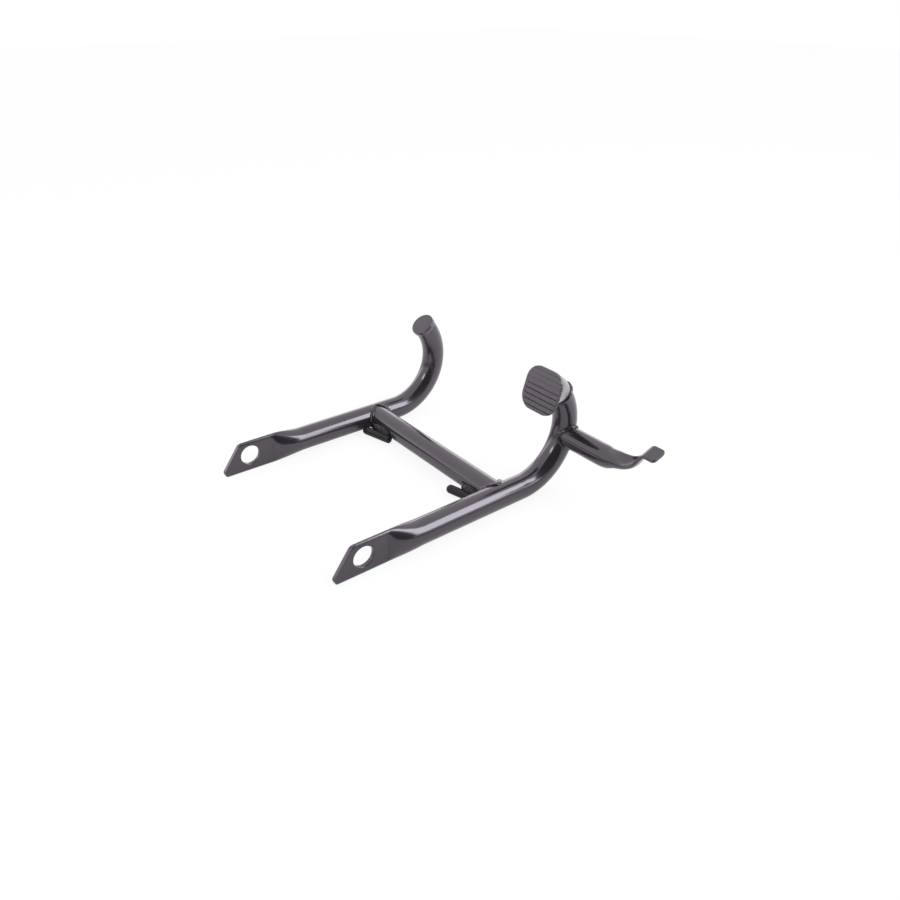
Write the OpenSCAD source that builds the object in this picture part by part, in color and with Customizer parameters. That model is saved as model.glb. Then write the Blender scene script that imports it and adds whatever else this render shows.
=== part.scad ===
// Motorcycle centre stand, welded from steel tube and painted black.
// Frame: the pivot axis is the Y axis, the bends lie towards +X, +Z is up.
// The stand leans a little about its pivot axis, as it rests on a bench.

/* [Leg tubes] */
// Distance between the centre planes of the two legs
leg_spacing = 189; // [160:1:240]
// Outside diameter of the leg tubes
leg_od = 22; // [18:0.1:25]
// Wall of the leg tubes
leg_wall = 2.2; // [1.6:0.1:2.8]
// Pivot to the start of the bend
leg_run = 164; // [158:1:220]
// Radius of the bend, on the centreline of the tube
bend_radius = 49; // [44:1:60]
// Angle that each tube turns through, up to its cut end
bend_angle = 130; // [120:1:140]

/* [Pivot lugs] */
// Height of the pressed lug
lug_width = 30; // [28:0.5:33]
// Round along the long edges of the lug
lug_edge_round = 2; // [0.8:0.1:2.1]
// Diameter of the pivot hole
pivot_d = 18.6; // [14:0.1:20]
// Pivot hole above the centreline of the tube
pivot_rise = 1.1; // [0:0.1:2]
// Pivot to the upper corner of the slanted end
lug_top_lead = 9; // [7:0.5:16]
// Pivot to the lower corner of the slanted end
lug_bottom_lead = 30.5; // [24:0.5:34]
// Round of the lower corner
lug_corner = 4.5; // [3:0.5:7]
// Round of the upper corner
lug_top_corner = 2; // [1:0.5:3]
// Pivot to the end of the flat
lug_flat = 22; // [18:1:26]
// Length over which the flat lug opens into the round tube
lug_taper = 32; // [26:1:40]

/* [Cross tube] */
// Leg tube's diameter less the cross tube's
cross_less = 0.4; // [0.4:0.1:6]
// Wall of the cross tube
cross_wall = 2.2; // [1.5:0.1:3]
// Pivot to the centreline of the cross tube
cross_at = 139; // [110:1:142]

/* [End cap] */
// Diameter of the cap beyond the tube's
cap_more = 2; // [1:0.5:6]
// Thickness of the cap
cap_thick = 5; // [2:0.1:6]
// Round of its outer edge
cap_edge = 1; // [0.4:0.1:1.8]

/* [Step plate] */
// Width of the ribbed plate
step_w = 39.5; // [34:0.5:46]
// Height of the ribbed plate
step_h = 38; // [32:0.5:44]
// Corner round of the plate
step_corner = 11; // [6:0.5:14]
// Thickness of the plate under its ribs
step_thick = 1.3; // [1:0.1:3]
// Height of the ribs
rib_height = 1.2; // [0.8:0.1:2]
// Distance from rib to rib
rib_pitch = 4.45; // [3.5:0.05:6]
// Turn of the plate from the cut end of the tube
step_tilt = 33; // [20:1:36]
// Plate centre beyond the cut end
step_reach = 20.7; // [19:0.1:26]
// Plate centre towards the inside of the bend
step_inset = 11.3; // [6:0.1:13]

/* [Pedal arm] */
// Leg tube's diameter less the arm tube's
arm_less = 2; // [2:0.5:5]
// Wall of the arm tube
arm_wall = 1.5; // [1.2:0.1:2]
// Place of the arm on the bend, as an angle from the start of the bend
arm_angle = 77.5; // [70:0.5:84]
// Leg centre to the end of the round part of the arm
arm_round = 46; // [30:1:60]
// Length over which the tube is pressed flat, up to the foot of the riser
arm_press = 34; // [28:1:44]
// End of the round part to where the pressed floor starts to rise
floor_lead = 8; // [6:0.5:12]
// Rise of the floor at the foot of the riser
floor_rise = 7; // [3:0.5:10]
// Round of the bend into the floor
floor_bend = 20; // [12:1:30]
// Width of the pressed tongue
tongue_w = 16; // [13:0.5:20]
// Turn of the tongue about the arm, its inner edge the lower one
tongue_roll = 19; // [0:1:28]
// Length of the riser along the arm
riser_run = 11; // [8:0.5:16]
// Rise of the tip above the arm's centreline
tongue_rise = 23.5; // [18:0.5:30]
// Round of the bends below and above the riser
tongue_bend = 4.5; // [3:0.5:6]
// Length of the level tip
tip_len = 11.5; // [9:0.5:20]
// Corner round of the tip
tip_round = 3; // [2:0.5:5]

/* [Spring hooks] */
// Diameter of the hook pins
hook_d = 8; // [6:0.5:9]
// Length of a pin on its centreline, up to the centre of its round tip
hook_len = 30.5; // [24:0.5:36]
// Surface of the near leg to the root of its hook
hook_gap = 0.4; // [0.2:0.1:5]
// Gap between the round tip of the far hook and the far leg
hook_clear = 0.5; // [0.3:0.1:10]
// Centreline of the hook's root ahead of the cross tube's surface
hook_stand = 1.2; // [0.7:0.1:2.2]
// Hook below the cross tube's centreline
hook_drop = 6.5; // [5.5:0.1:7]
// Angle between hook and cross tube
hook_splay = 14.5; // [10:0.5:18]

/* [Welds] */
// Radius of the bead at the cross tube and the arm
bead_r = 2.8; // [2:0.1:3.6]
// Size of the cross tube's bead on top, as a share of its size at the sides
bead_top = 0.6; // [0.4:0.05:1]
// Size of the same bead underneath
bead_under = 0.3; // [0.2:0.05:0.4]
// Radius of the bead at the step plate
step_bead_r = 2.2; // [1.6:0.1:2.8]
// Radius of the tack at each hook
tack_r = 3.6; // [3:0.1:4.2]
// Hook root to the start of the tack
tack_start = 3; // [2:0.5:5]
// Length of the tack
tack_len = 17; // [12:0.5:20]
// Gap that a fitted tube end leaves before it is welded
root_gap = 0.15; // [0.1:0.05:0.3]
// Number of ripples round a bead
ripples = 14; // [10:1:18]
// Height of a ripple, as a share of the bead
ripple_share = 0.12; // [0:0.01:0.2]

/* [Hidden] */
$fn = 48;
leg_r = leg_od / 2;
cross_r = (leg_od - cross_less) / 2;
arm_r = (leg_od - arm_less) / 2;
cap_r = (leg_od + cap_more) / 2;
hook_r = hook_d / 2;
hook_root = leg_r + hook_gap;
hook_lead = cross_r + hook_stand;
// Far leg's centre to the centre of its hook's tip, and the distance between the two hooks
hook_tip = sqrt(pow(leg_r + hook_r + hook_clear, 2) - pow(hook_drop, 2));
hook_spacing = leg_spacing - hook_root - hook_len * cos(hook_splay) - hook_tip;
near_y = -leg_spacing / 2;
far_y = leg_spacing / 2;
lug_half = lug_width / 2;
lug_thick = 2 * leg_wall;
// Sides of the round cuts that leave a thin bead
fine = 144;
// Points in each quarter of a lofted section
quarter = 8;
// Steps of each rounded corner of an outline
round_steps = 6;
// Length by which a cutting solid passes a face
over = 2;
// Depth by which lofted solids lap each other, and the step that a loft keeps inside a round tube
lap = 0.5;
inset = 0.03;
// Share of the taper by which a lug's long edges open later, and over which its height shrinks
open_delay = 0.3;
shrink_share = 0.6;
// Width of a rib's land and of its two slopes, as shares of the pitch
land_share = 0.55;
slope_share = 0.2;
// Margin of the plate round its neck
neck_margin = 0.8;
// Rings along the neck, its curve and the place of its knee
neck_steps = 8;
neck_power = 1.4;
knee_share = 0.45;
// Share of the pressed length in which the arm is still hollow
cavity_share = 0.4;
// Height of a bead's centre above the joint
bead_lift = 0.05;
// Tack: height above the pin, place between tube and pin, size of its ends, ripples
tack_lift = 0.8;
tack_share = 0.3;
tack_end_share = 0.3;
tack_ripples = 3;
// The stand rests on the lugs and on the bends
lean = atan((lug_half - leg_r) / (leg_run - lug_flat));
arm_x = leg_run + bend_radius * sin(arm_angle);
arm_z = bend_radius * (1 - cos(arm_angle));
paint = [0.13, 0.125, 0.135];

// Vector helpers and easing
function unit(v) = v / norm(v);
function mix(a, b, u) = a + (b - a) * u;
function clamp01(u) = max(0, min(1, u));
function ease(u) = let (v = clamp01(u)) v * v * (3 - 2 * v);

// Points of the round that blends corner b of the path a-b-c
function corner(a, b, c, r) =
    let (u = unit(a - b), v = unit(c - b),
        half = acos(u * v) / 2,
        mid = b + unit(u + v) * r / sin(half),
        p = b + u * r / tan(half) - mid,
        q = b + v * r / tan(half) - mid,
        start = atan2(p[1], p[0]),
        swing = atan2(q[1], q[0]) - start,
        turn = swing > 180 ? swing - 360 : swing < -180 ? swing + 360 : swing)
    [for (i = [0:round_steps]) let (t = start + turn * i / round_steps) mid + r * [cos(t), sin(t)]];

// Outline with every corner rounded to radius r
function rounded(pts, r) = let (n = len(pts))
    [for (i = [0:n - 1]) each corner(pts[(i + n - 1) % n], pts[i], pts[(i + 1) % n], r)];

// Section of a pressed tube: half width across, half height up and the radius of its corners.
// Round when all three are equal. The points start on the side of +across and turn towards +up.
function section(across, up, r) = [for (q = [0:3], i = [0:quarter - 1])
    let (a = 90 * q + 90 * (i + 0.5) / quarter, sx = q == 0 || q == 3 ? 1 : -1, sy = q < 2 ? 1 : -1)
    [sx * (across - r) + r * cos(a), sy * (up - r) + r * sin(a)]];

// Ring of a section in space, from its centre and two directions
function ring(centre, ux, uy, pts) = [for (p = pts) centre + p[0] * ux + p[1] * uy];

// Solid through a row of rings with as many points each, closed by flat ends
module skin(rings) {
    n = len(rings[0]);
    m = len(rings);
    walls = [for (j = [0:m - 2], i = [0:n - 1]) let (k = (i + 1) % n)
        each [[j * n + i, (j + 1) * n + k, j * n + k], [j * n + i, (j + 1) * n + i, (j + 1) * n + k]]];
    ends = [[for (i = [0:n - 1]) i], [for (i = [n - 1:-1:0]) (m - 1) * n + i]];
    polyhedron([for (r = rings) each r], concat(ends, walls));
}

// The same for a row of rings that runs back into its first one
module skin_loop(rings) {
    n = len(rings[0]);
    m = len(rings);
    walls = [for (j = [0:m - 1], i = [0:n - 1]) let (k = (i + 1) % n, g = (j + 1) % m)
        each [[j * n + i, g * n + k, j * n + k], [j * n + i, g * n + i, g * n + k]]];
    polyhedron([for (r = rings) each r], walls);
}

// Puts the leg frame (X along the tubes, Z = 0 at their centreline) into the part's frame
module placed() {
    rotate([0, lean, 0]) translate([0, 0, -pivot_rise]) children();
}

// Turns what is drawn along +Z so that it runs along +Y
module along_y() {
    rotate([-90, 0, 0]) children();
}

// Puts what is drawn along +Z on the cut end of a leg, +Z leaving the tube, +X out of the bend
module on_tube_end() {
    translate([leg_run + bend_radius * sin(bend_angle), 0, bend_radius * (1 - cos(bend_angle))])
        rotate([0, 90 - bend_angle, 0]) children();
}

// Bend of a tube of radius r, in the plane of the leg
module bend(r) {
    translate([leg_run, 0, bend_radius])
        rotate([0, 90, 0]) rotate([90, 0, 0])
            rotate_extrude(angle = bend_angle) translate([bend_radius, 0]) circle(r = r);
}

// Inside of a pressed tube: a cone of length taper that opens to radius r, then a round bore
module bore_with_cone(r, taper, bore, tip) {
    rotate_extrude() polygon([[0, 0], [tip, 0], [r, taper], [r, taper + bore], [0, taper + bore]]);
}

// Straight tube and bend, as a solid bar of radius r
module leg_bar(r, from) {
    translate([from, 0, 0]) rotate([0, 90, 0]) cylinder(r = r, h = leg_run - from);
    bend(r);
}

// Outline of the lug, seen along the pivot axis: its two rounded corners, open above and below
function lug_outline() =
    let (under = [lug_flat, -lug_half],
        low = [-lug_bottom_lead, -lug_half],
        high = [-lug_top_lead, lug_half],
        above = [lug_flat, lug_half],
        toe = corner(under, low, high, lug_corner),
        brow = corner(low, high, above, lug_top_corner))
    concat(toe, brow, [[brow[round_steps][0], lug_half + over], [lug_flat + over, lug_half + over],
        [lug_flat + over, -lug_half - over], [toe[0][0], -lug_half - over]]);

// Ring of the pressed tube at distance x from the pivot. The tube opens at mid height first.
function lug_ring(x) =
    let (s = (x - lug_flat) / lug_taper,
        flat = section(lug_thick / 2, lug_half, lug_edge_round),
        tube = section(leg_r - inset, leg_r - inset, leg_r - inset),
        shrink = ease(s / shrink_share))
    ring([x, 0, 0], [0, 1, 0], [0, 0, 1], [for (i = [0:len(flat) - 1])
        let (late = open_delay * pow(tube[i][1] / leg_r, 2))
        [mix(flat[i][0], tube[i][0], ease((s - late) / (1 - open_delay))), mix(flat[i][1], tube[i][1], shrink)]]);

// Flat lug with round long edges and a slanted end
module lug() {
    intersection() {
        translate([-lug_bottom_lead - over, 0, 0]) rotate([90, 0, 90])
            linear_extrude(lug_bottom_lead + over + lug_flat)
                polygon(section(lug_thick / 2, lug_half, lug_edge_round));
        rotate([90, 0, 0]) linear_extrude(lug_thick + over, center = true) polygon(lug_outline());
    }
}

// One leg: a tube with its end pressed into a lug, drilled, and bent up at the other end
module leg() {
    taper_steps = 12;
    taper_end = lug_flat + lug_taper;
    difference() {
        union() {
            lug();
            skin([for (i = [0:taper_steps]) lug_ring(lug_flat + (lug_taper + lap) * i / taper_steps)]);
            leg_bar(leg_r, taper_end);
        }
        translate([0, 0, pivot_rise]) along_y() cylinder(d = pivot_d, h = leg_od, center = true);
        bend(leg_r - leg_wall);
        translate([lug_flat + lug_taper / 2, 0, 0]) rotate([0, 90, 0])
            bore_with_cone(leg_r - leg_wall, lug_taper / 2, leg_run - taper_end, leg_wall / 2);
    }
}

module leg_near() {
    color(paint) placed() translate([0, near_y, 0]) leg();
}

module leg_far() {
    color(paint) placed() translate([0, far_y, 0]) leg();
}

// Straight bars that stand for both legs where the cross tube meets them
module leg_lines(r) {
    for (y = [near_y, far_y])
        translate([cross_at - 2 * leg_od, y, 0]) rotate([0, 90, 0]) cylinder(r = r, h = 4 * leg_od);
}

// Tube between the legs, its ends cut to saddles
module cross_tube() {
    color(paint) placed() difference() {
        translate([cross_at, 0, 0]) along_y() cylinder(r = cross_r, h = leg_spacing, center = true);
        translate([cross_at, 0, 0]) along_y()
            cylinder(r = cross_r - cross_wall, h = leg_spacing + over, center = true);
        leg_lines(leg_r + root_gap);
    }
}

// Round cap on the cut end of the far leg
module end_cap() {
    color(paint) placed() translate([0, far_y, 0]) on_tube_end() {
        cylinder(r = cap_r, h = cap_thick - cap_edge);
        translate([0, 0, cap_thick - cap_edge]) cylinder(r1 = cap_r, r2 = cap_r - cap_edge, h = cap_edge);
    }
}

// Side profile of the ribbed plate: a flat back and a row of ribs on the face
function step_profile() =
    let (n = ceil(step_h / rib_pitch / 2), land = rib_pitch * land_share, slope = rib_pitch * slope_share / 2)
    concat(
        [[-step_h, -step_thick - rib_height], [step_h, -step_thick - rib_height]],
        [for (i = [n:-1:-n]) each let (c = i * rib_pitch)
            [[c + land / 2, 0], [c - land / 2, 0], [c - land / 2 - slope, -rib_height],
                [c - rib_pitch + land / 2 + slope, -rib_height]]]);

// Puts what is drawn with its face in the XY plane, looking along +Z, on the plate's place
module on_step_plate() {
    on_tube_end() translate([-step_inset, 0, step_reach]) rotate([0, -step_tilt, 0]) children();
}

// Ring of the neck, from the round tube end (u = 0) to the back of the plate (u = 1)
function neck_ring(u) =
    let (flare = pow(u, neck_power),
        back = step_thick + rib_height - inset,
        centre = [-step_inset + back * sin(step_tilt), 0, step_reach - back * cos(step_tilt)],
        knee = [0, 0, step_reach * knee_share],
        place = mix(knee * u, mix(knee, centre, u), u),
        turn = step_tilt * u,
        up = mix(leg_r, step_h / 2 - neck_margin, flare),
        across = mix(leg_r, step_w / 2 - neck_margin, flare),
        r = mix(leg_r, step_corner - neck_margin, flare))
    ring(place, [cos(turn), 0, sin(turn)], [0, 1, 0], section(up, across, min(up, across, r)));

// Neck between the tube and the plate
module neck() {
    on_tube_end() skin([for (i = [0:neck_steps]) neck_ring(i / neck_steps)]);
}

// Foot plate: ribs across its face, and a neck that closes down to the size of the tube
module step_plate() {
    color(paint) placed() translate([0, near_y, 0]) {
        intersection() {
            on_step_plate() translate([0, 0, -step_thick - rib_height])
                linear_extrude(step_thick + rib_height + over)
                    polygon(rounded(
                        [[step_h / 2, step_w / 2], [-step_h / 2, step_w / 2],
                            [-step_h / 2, -step_w / 2], [step_h / 2, -step_w / 2]], step_corner));
            on_step_plate() rotate([90, 0, 0]) linear_extrude(step_w + over, center = true)
                polygon(step_profile());
        }
        neck();
    }
}

// Points between two points, without the two
function between(a, b, steps) = [for (i = [1:steps - 1]) mix(a, b, i / steps)];

// Side path of the pressed end of the arm: distance from the leg's centre and height
function arm_path() =
    let (start = [arm_round - lap, 0],
        dip = [arm_round + floor_lead, 0],
        foot = [arm_round + arm_press, floor_rise],
        brow = [foot[0] + riser_run, tongue_rise],
        end = brow + [tip_len, 0],
        low = corner(start, dip, foot, floor_bend),
        knee = corner(dip, foot, brow, tongue_bend),
        top = corner(foot, brow, end, tongue_bend),
        tip_steps = 6,
        tip_turn = 84)
    concat([start], between(start, low[0], 3), low, between(low[round_steps], knee[0], 7), knee,
        between(knee[round_steps], top[0], 3), top,
        [for (i = [0:tip_steps]) end - [tip_round * (1 - sin(tip_turn * i / tip_steps)), 0]]);

// Ring of the arm at point i of that path, drawn along -Y
function arm_ring(path, i) =
    let (p = path[i],
        along = unit(path[min(i + 1, len(path) - 1)] - path[max(i - 1, 0)]),
        press = ease((p[0] - arm_round) / arm_press),
        left = arm_round + arm_press + riser_run + tip_len - p[0],
        pinch = left < tip_round ? tip_round - sqrt(tip_round * tip_round - pow(tip_round - left, 2)) : 0,
        across = mix(arm_r - inset, tongue_w / 2, press) - pinch,
        up = mix(arm_r - inset, arm_wall, press),
        ahead = [0, -along[0], along[1]],
        ux = [cos(tongue_roll * press), 0, sin(tongue_roll * press)])
    ring([arm_x, -p[0], arm_z + p[1]], ux, unit(cross(ahead, ux)),
        section(across, up, min(mix(arm_r, arm_wall * 0.9, press), across, up)));

// Tube that stands out from the bend, pressed into a rising tongue with a level tip
module pedal_arm() {
    path = arm_path();
    color(paint) placed() translate([0, near_y, 0]) difference() {
        union() {
            translate([arm_x, -arm_round, arm_z]) along_y() cylinder(r = arm_r, h = arm_round);
            skin([for (i = [0:len(path) - 1]) arm_ring(path, i)]);
        }
        bend(leg_r + root_gap);
        translate([arm_x, -arm_round - arm_press * cavity_share, arm_z]) along_y()
            bore_with_cone(arm_r - arm_wall, arm_press * cavity_share, arm_round, arm_wall);
    }
}

// Puts what is drawn along +Z on the near hook, from its root to its tip
module on_hook() {
    translate([cross_at - hook_lead, near_y + hook_root, -hook_drop])
        rotate([0, 0, hook_splay]) along_y() children();
}

// Pin for the return spring, with a round tip, its root let into the side of the cross tube
module spring_hook() {
    difference() {
        on_hook() {
            cylinder(r = hook_r, h = hook_len);
            translate([0, 0, hook_len]) sphere(r = hook_r);
        }
        translate([cross_at, 0, 0]) along_y() cylinder(r = cross_r, h = leg_spacing, center = true);
    }
}

module spring_hook_near() {
    color(paint) placed() spring_hook();
}

module spring_hook_far() {
    color(paint) placed() translate([0, hook_spacing, 0]) spring_hook();
}

// Size of a bead at angle a round its joint, with its ripples
function bead_size(r, a) = r * (1 + ripple_share * cos(a * ripples));

// Section of a bead, round with six sides, in the plane of two directions
function bead_ring(p, u, v, r) = [for (i = [0:5]) p + r * (cos(60 * i) * u + sin(60 * i) * v)];

// Bead on the saddle where the cross tube meets the far leg, at angle a round the cross tube
function saddle_ring(a) =
    let (x = cross_r * sin(a), z = cross_r * cos(a),
        y = -sqrt(leg_r * leg_r - z * z),
        share = mix(z > 0 ? bead_top : bead_under, 1, abs(sin(a))),
        away = unit(unit([x, 0, z]) + unit([0, y, z])),
        ahead = unit([cos(a), z * sin(a) / min(y, -1), -sin(a)]))
    bead_ring([cross_at + x, y, z] + bead_lift * away, away, unit(cross(ahead, away)),
        bead_size(bead_r * share, a));

module cross_weld() {
    steps = 3 * ripples;
    difference() {
        skin_loop([for (i = [0:steps - 1]) saddle_ring(360 * i / steps)]);
        translate([cross_at - 2 * leg_od, 0, 0]) rotate([0, 90, 0])
            cylinder(r = leg_r, h = 4 * leg_od, $fn = fine);
        translate([cross_at, 0, 0]) along_y() cylinder(r = cross_r, h = 4 * leg_od, center = true, $fn = fine);
    }
}

// The near bead also flows round the root of the near hook
module weld_cross_near() {
    color(paint) placed() difference() {
        translate([0, near_y, 0]) mirror([0, 1, 0]) cross_weld();
        on_hook() cylinder(r = hook_r, h = hook_len);
    }
}

module weld_cross_far() {
    color(paint) placed() translate([0, far_y, 0]) cross_weld();
}

// Bead where the arm meets the bend
function arm_bead_ring(a) =
    let (x = arm_x + arm_r * cos(a), z = arm_z + arm_r * sin(a),
        radial = [x - leg_run, z - bend_radius],
        off = norm(radial) - bend_radius,
        y = -sqrt(leg_r * leg_r - off * off),
        outward = unit(radial) * off / leg_r,
        away = unit([cos(a), 0, sin(a)] + [outward[0], y / leg_r, outward[1]]),
        ahead = [-sin(a), 0, cos(a)],
        v = unit(cross(ahead, away)),
        u = unit(cross(v, ahead)))
    bead_ring([x, y, z] + bead_lift * away, u, v, bead_size(bead_r, a));

module weld_pedal_arm() {
    steps = 3 * ripples;
    color(paint) placed() translate([0, near_y, 0]) difference() {
        skin_loop([for (i = [0:steps - 1]) arm_bead_ring(360 * i / steps)]);
        bend(leg_r);
        translate([arm_x, 0, arm_z]) along_y() cylinder(r = arm_r, h = 4 * leg_od, center = true);
    }
}

// Bead round the joint of the step plate and the tube
module weld_step_plate() {
    steps = 3 * ripples;
    color(paint) placed() translate([0, near_y, 0]) difference() {
        on_tube_end() skin_loop([for (i = [0:steps - 1]) let (a = -360 * i / steps)
            bead_ring((leg_r + bead_lift) * [cos(a), sin(a), 0], [cos(a), sin(a), 0], [0, 0, 1],
                bead_size(step_bead_r, a))]);
        bend(leg_r);
        neck();
    }
}

// Section of the tack that fills the crotch between a hook and the cross tube, at share u of its length
function tack_ring(u) =
    let (z = hook_r - hook_drop + tack_lift,
        y = tack_start + u * tack_len,
        pin_x = cross_at - hook_lead - y * tan(hook_splay),
        tube_x = cross_at - sqrt(cross_r * cross_r - z * z),
        swell = mix(tack_end_share, 1, sqrt(max(0, sin(180 * u)))),
        r = tack_r * swell * (1 + ripple_share * cos(360 * u * tack_ripples)))
    bead_ring([mix(tube_x, pin_x, tack_share), near_y + hook_root + y, z], [1, 0, 0], [0, 0, -1], r);

module hook_tack() {
    steps = 12;
    difference() {
        skin([for (i = [0:steps]) tack_ring(i / steps)]);
        on_hook() translate([0, 0, -over]) cylinder(r = hook_r, h = hook_len + over);
        translate([cross_at, 0, 0]) along_y() cylinder(r = cross_r, h = leg_spacing, center = true);
    }
}

module weld_hook_near() {
    color(paint) placed() hook_tack();
}

module weld_hook_far() {
    color(paint) placed() translate([0, hook_spacing, 0]) hook_tack();
}

leg_near();
leg_far();
cross_tube();
end_cap();
step_plate();
pedal_arm();
spring_hook_near();
spring_hook_far();
weld_cross_near();
weld_cross_far();
weld_pedal_arm();
weld_step_plate();
weld_hook_near();
weld_hook_far();
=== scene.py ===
"""Looks of the motorcycle centre stand: bent tubes, pressed lugs, ribbed step plate, hooks and welds.

Sizes are in millimetres in the frame of the legs: X runs along the tubes, Y along the pivot axis and
Z up from the tubes' centreline. StandFrame turns such points into metres in the part's frame.
"""

from __future__ import annotations

import logging
import math
from dataclasses import dataclass, field
from enum import Enum
from typing import Any, Sequence

import bmesh
import bpy
import numpy as np
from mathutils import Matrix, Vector

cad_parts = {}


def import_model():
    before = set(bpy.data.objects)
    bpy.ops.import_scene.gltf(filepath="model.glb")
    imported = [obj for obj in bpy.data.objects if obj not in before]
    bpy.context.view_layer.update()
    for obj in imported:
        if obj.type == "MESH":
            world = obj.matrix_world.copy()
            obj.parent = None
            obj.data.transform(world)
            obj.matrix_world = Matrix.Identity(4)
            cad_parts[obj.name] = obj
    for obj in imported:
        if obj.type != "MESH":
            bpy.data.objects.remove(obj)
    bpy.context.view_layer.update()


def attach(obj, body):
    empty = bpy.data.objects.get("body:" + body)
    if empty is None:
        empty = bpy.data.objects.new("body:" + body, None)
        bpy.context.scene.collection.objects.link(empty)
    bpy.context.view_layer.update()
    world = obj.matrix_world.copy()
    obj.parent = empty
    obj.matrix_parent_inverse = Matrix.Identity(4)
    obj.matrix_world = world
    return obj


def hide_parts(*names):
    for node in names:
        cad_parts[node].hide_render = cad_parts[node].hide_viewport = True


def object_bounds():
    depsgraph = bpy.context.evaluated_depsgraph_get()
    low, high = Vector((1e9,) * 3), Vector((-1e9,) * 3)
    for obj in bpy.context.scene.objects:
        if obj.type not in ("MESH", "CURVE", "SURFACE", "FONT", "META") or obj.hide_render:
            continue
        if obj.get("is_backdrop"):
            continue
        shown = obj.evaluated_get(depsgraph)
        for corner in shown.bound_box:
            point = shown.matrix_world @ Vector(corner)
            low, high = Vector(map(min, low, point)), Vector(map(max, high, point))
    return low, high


LOG = logging.getLogger("centre_stand")
MILLIMETRE = 0.001
TINY = 1e-9


class Side(Enum):
    """The two legs of the stand."""

    NEAR = -1
    FAR = 1


class RayKind(Enum):
    """Rays of the Light Path node that see the plain background."""

    CAMERA = "Is Camera Ray"
    GLOSSY = "Is Glossy Ray"
    TRANSMISSION = "Is Transmission Ray"


def ease(share: np.ndarray | float) -> np.ndarray:
    """Smooth step from 0 to 1."""
    held = np.clip(share, 0.0, 1.0)
    return held * held * (3.0 - 2.0 * held)


def mix(start: Any, end: Any, share: Any) -> Any:
    """Value between start and end."""
    return start + (end - start) * share


def unit(vectors: np.ndarray) -> np.ndarray:
    """Vectors of length one, along the last axis."""
    return vectors / np.maximum(np.linalg.norm(vectors, axis=-1, keepdims=True), TINY)


@dataclass(frozen=True)
class StandFrame:
    """Sizes that several pieces share, and the way into the part's frame."""

    leg_spacing: float = 189.0
    leg_radius: float = 11.0
    leg_wall: float = 2.2
    leg_run: float = 164.0
    bend_radius: float = 49.0
    bend_angle: float = 130.0
    pivot_rise: float = 1.1
    lug_half: float = 15.0
    lug_flat: float = 22.0
    cross_at: float = 139.0
    cross_radius: float = 10.8
    root_gap: float = 0.15

    @property
    def lean(self) -> float:
        """Angle in radians by which the stand leans on its lugs and bends."""
        return math.atan((self.lug_half - self.leg_radius) / (self.leg_run - self.lug_flat))

    def leg_y(self, side: Side) -> float:
        """Centre plane of a leg."""
        return side.value * self.leg_spacing / 2

    def to_part(self, points: np.ndarray) -> np.ndarray:
        """Turns points of the legs' frame into metres in the part's frame.

        Args:
            points: Array of points, in millimetres.

        Returns:
            The same points in metres, leaned and lifted.
        """
        flat = np.asarray(points, float).reshape(-1, 3)
        along, rise = flat[:, 0], flat[:, 2] - self.pivot_rise
        cos, sin = math.cos(self.lean), math.sin(self.lean)
        placed = np.stack([along * cos + rise * sin, flat[:, 1], rise * cos - along * sin], axis=1)
        return placed * MILLIMETRE

    def bend_spine(self, degrees: float) -> tuple[np.ndarray, np.ndarray]:
        """Centre of the bent tube and the direction towards the inside of the bend.

        Args:
            degrees: Angle from the start of the bend.

        Returns:
            The point and the direction, both with Y at zero.
        """
        turn = math.radians(degrees)
        inward = np.array([-math.sin(turn), 0.0, math.cos(turn)])
        centre = np.array([self.leg_run, 0.0, self.bend_radius]) - self.bend_radius * inward
        return centre, inward

    def tube_end(self, side: Side) -> tuple[np.ndarray, np.ndarray, np.ndarray]:
        """Centre of a leg's cut end, the direction out of the bend and the one that leaves the tube."""
        centre, inward = self.bend_spine(self.bend_angle)
        turn = math.radians(self.bend_angle)
        ahead = np.array([math.cos(turn), 0.0, math.sin(turn)])
        return centre + np.array([0.0, self.leg_y(side), 0.0]), -inward, ahead


class NodeSheet:
    """Adds nodes to a node tree and links them."""

    def __init__(self, tree: bpy.types.NodeTree) -> None:
        """Keeps the tree that is drawn on."""
        self.tree = tree

    def add(self, kind: str, inputs: dict[Any, Any] | None = None, **settings: Any) -> bpy.types.Node:
        """Adds one node.

        Args:
            kind: Blender's name of the node.
            inputs: Value or socket for each input, by name or number.
            settings: Properties of the node.

        Returns:
            The new node.
        """
        node = self.tree.nodes.new(kind)
        for key, value in settings.items():
            setattr(node, key, value)
        for key, value in (inputs or {}).items():
            self.feed(node.inputs[key], value)
        return node

    def feed(self, socket: bpy.types.NodeSocket, value: Any) -> None:
        """Links a socket to another one, or sets its own value."""
        if isinstance(value, bpy.types.NodeSocket):
            self.tree.links.new(value, socket)
        else:
            socket.default_value = value

    def maths(self, operation: str, *values: Any) -> bpy.types.NodeSocket:
        """Output of a Math node."""
        node = self.add("ShaderNodeMath", dict(enumerate(values)), operation=operation)
        return node.outputs[0]

    def span(self, value: Any, low: Any, high: Any, start: Any, end: Any) -> bpy.types.NodeSocket:
        """Output of a smooth Map Range node from low-high to start-end."""
        given = {"Value": value, "From Min": low, "From Max": high, "To Min": start, "To Max": end}
        return self.add("ShaderNodeMapRange", given, interpolation_type="SMOOTHSTEP").outputs[0]


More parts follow.
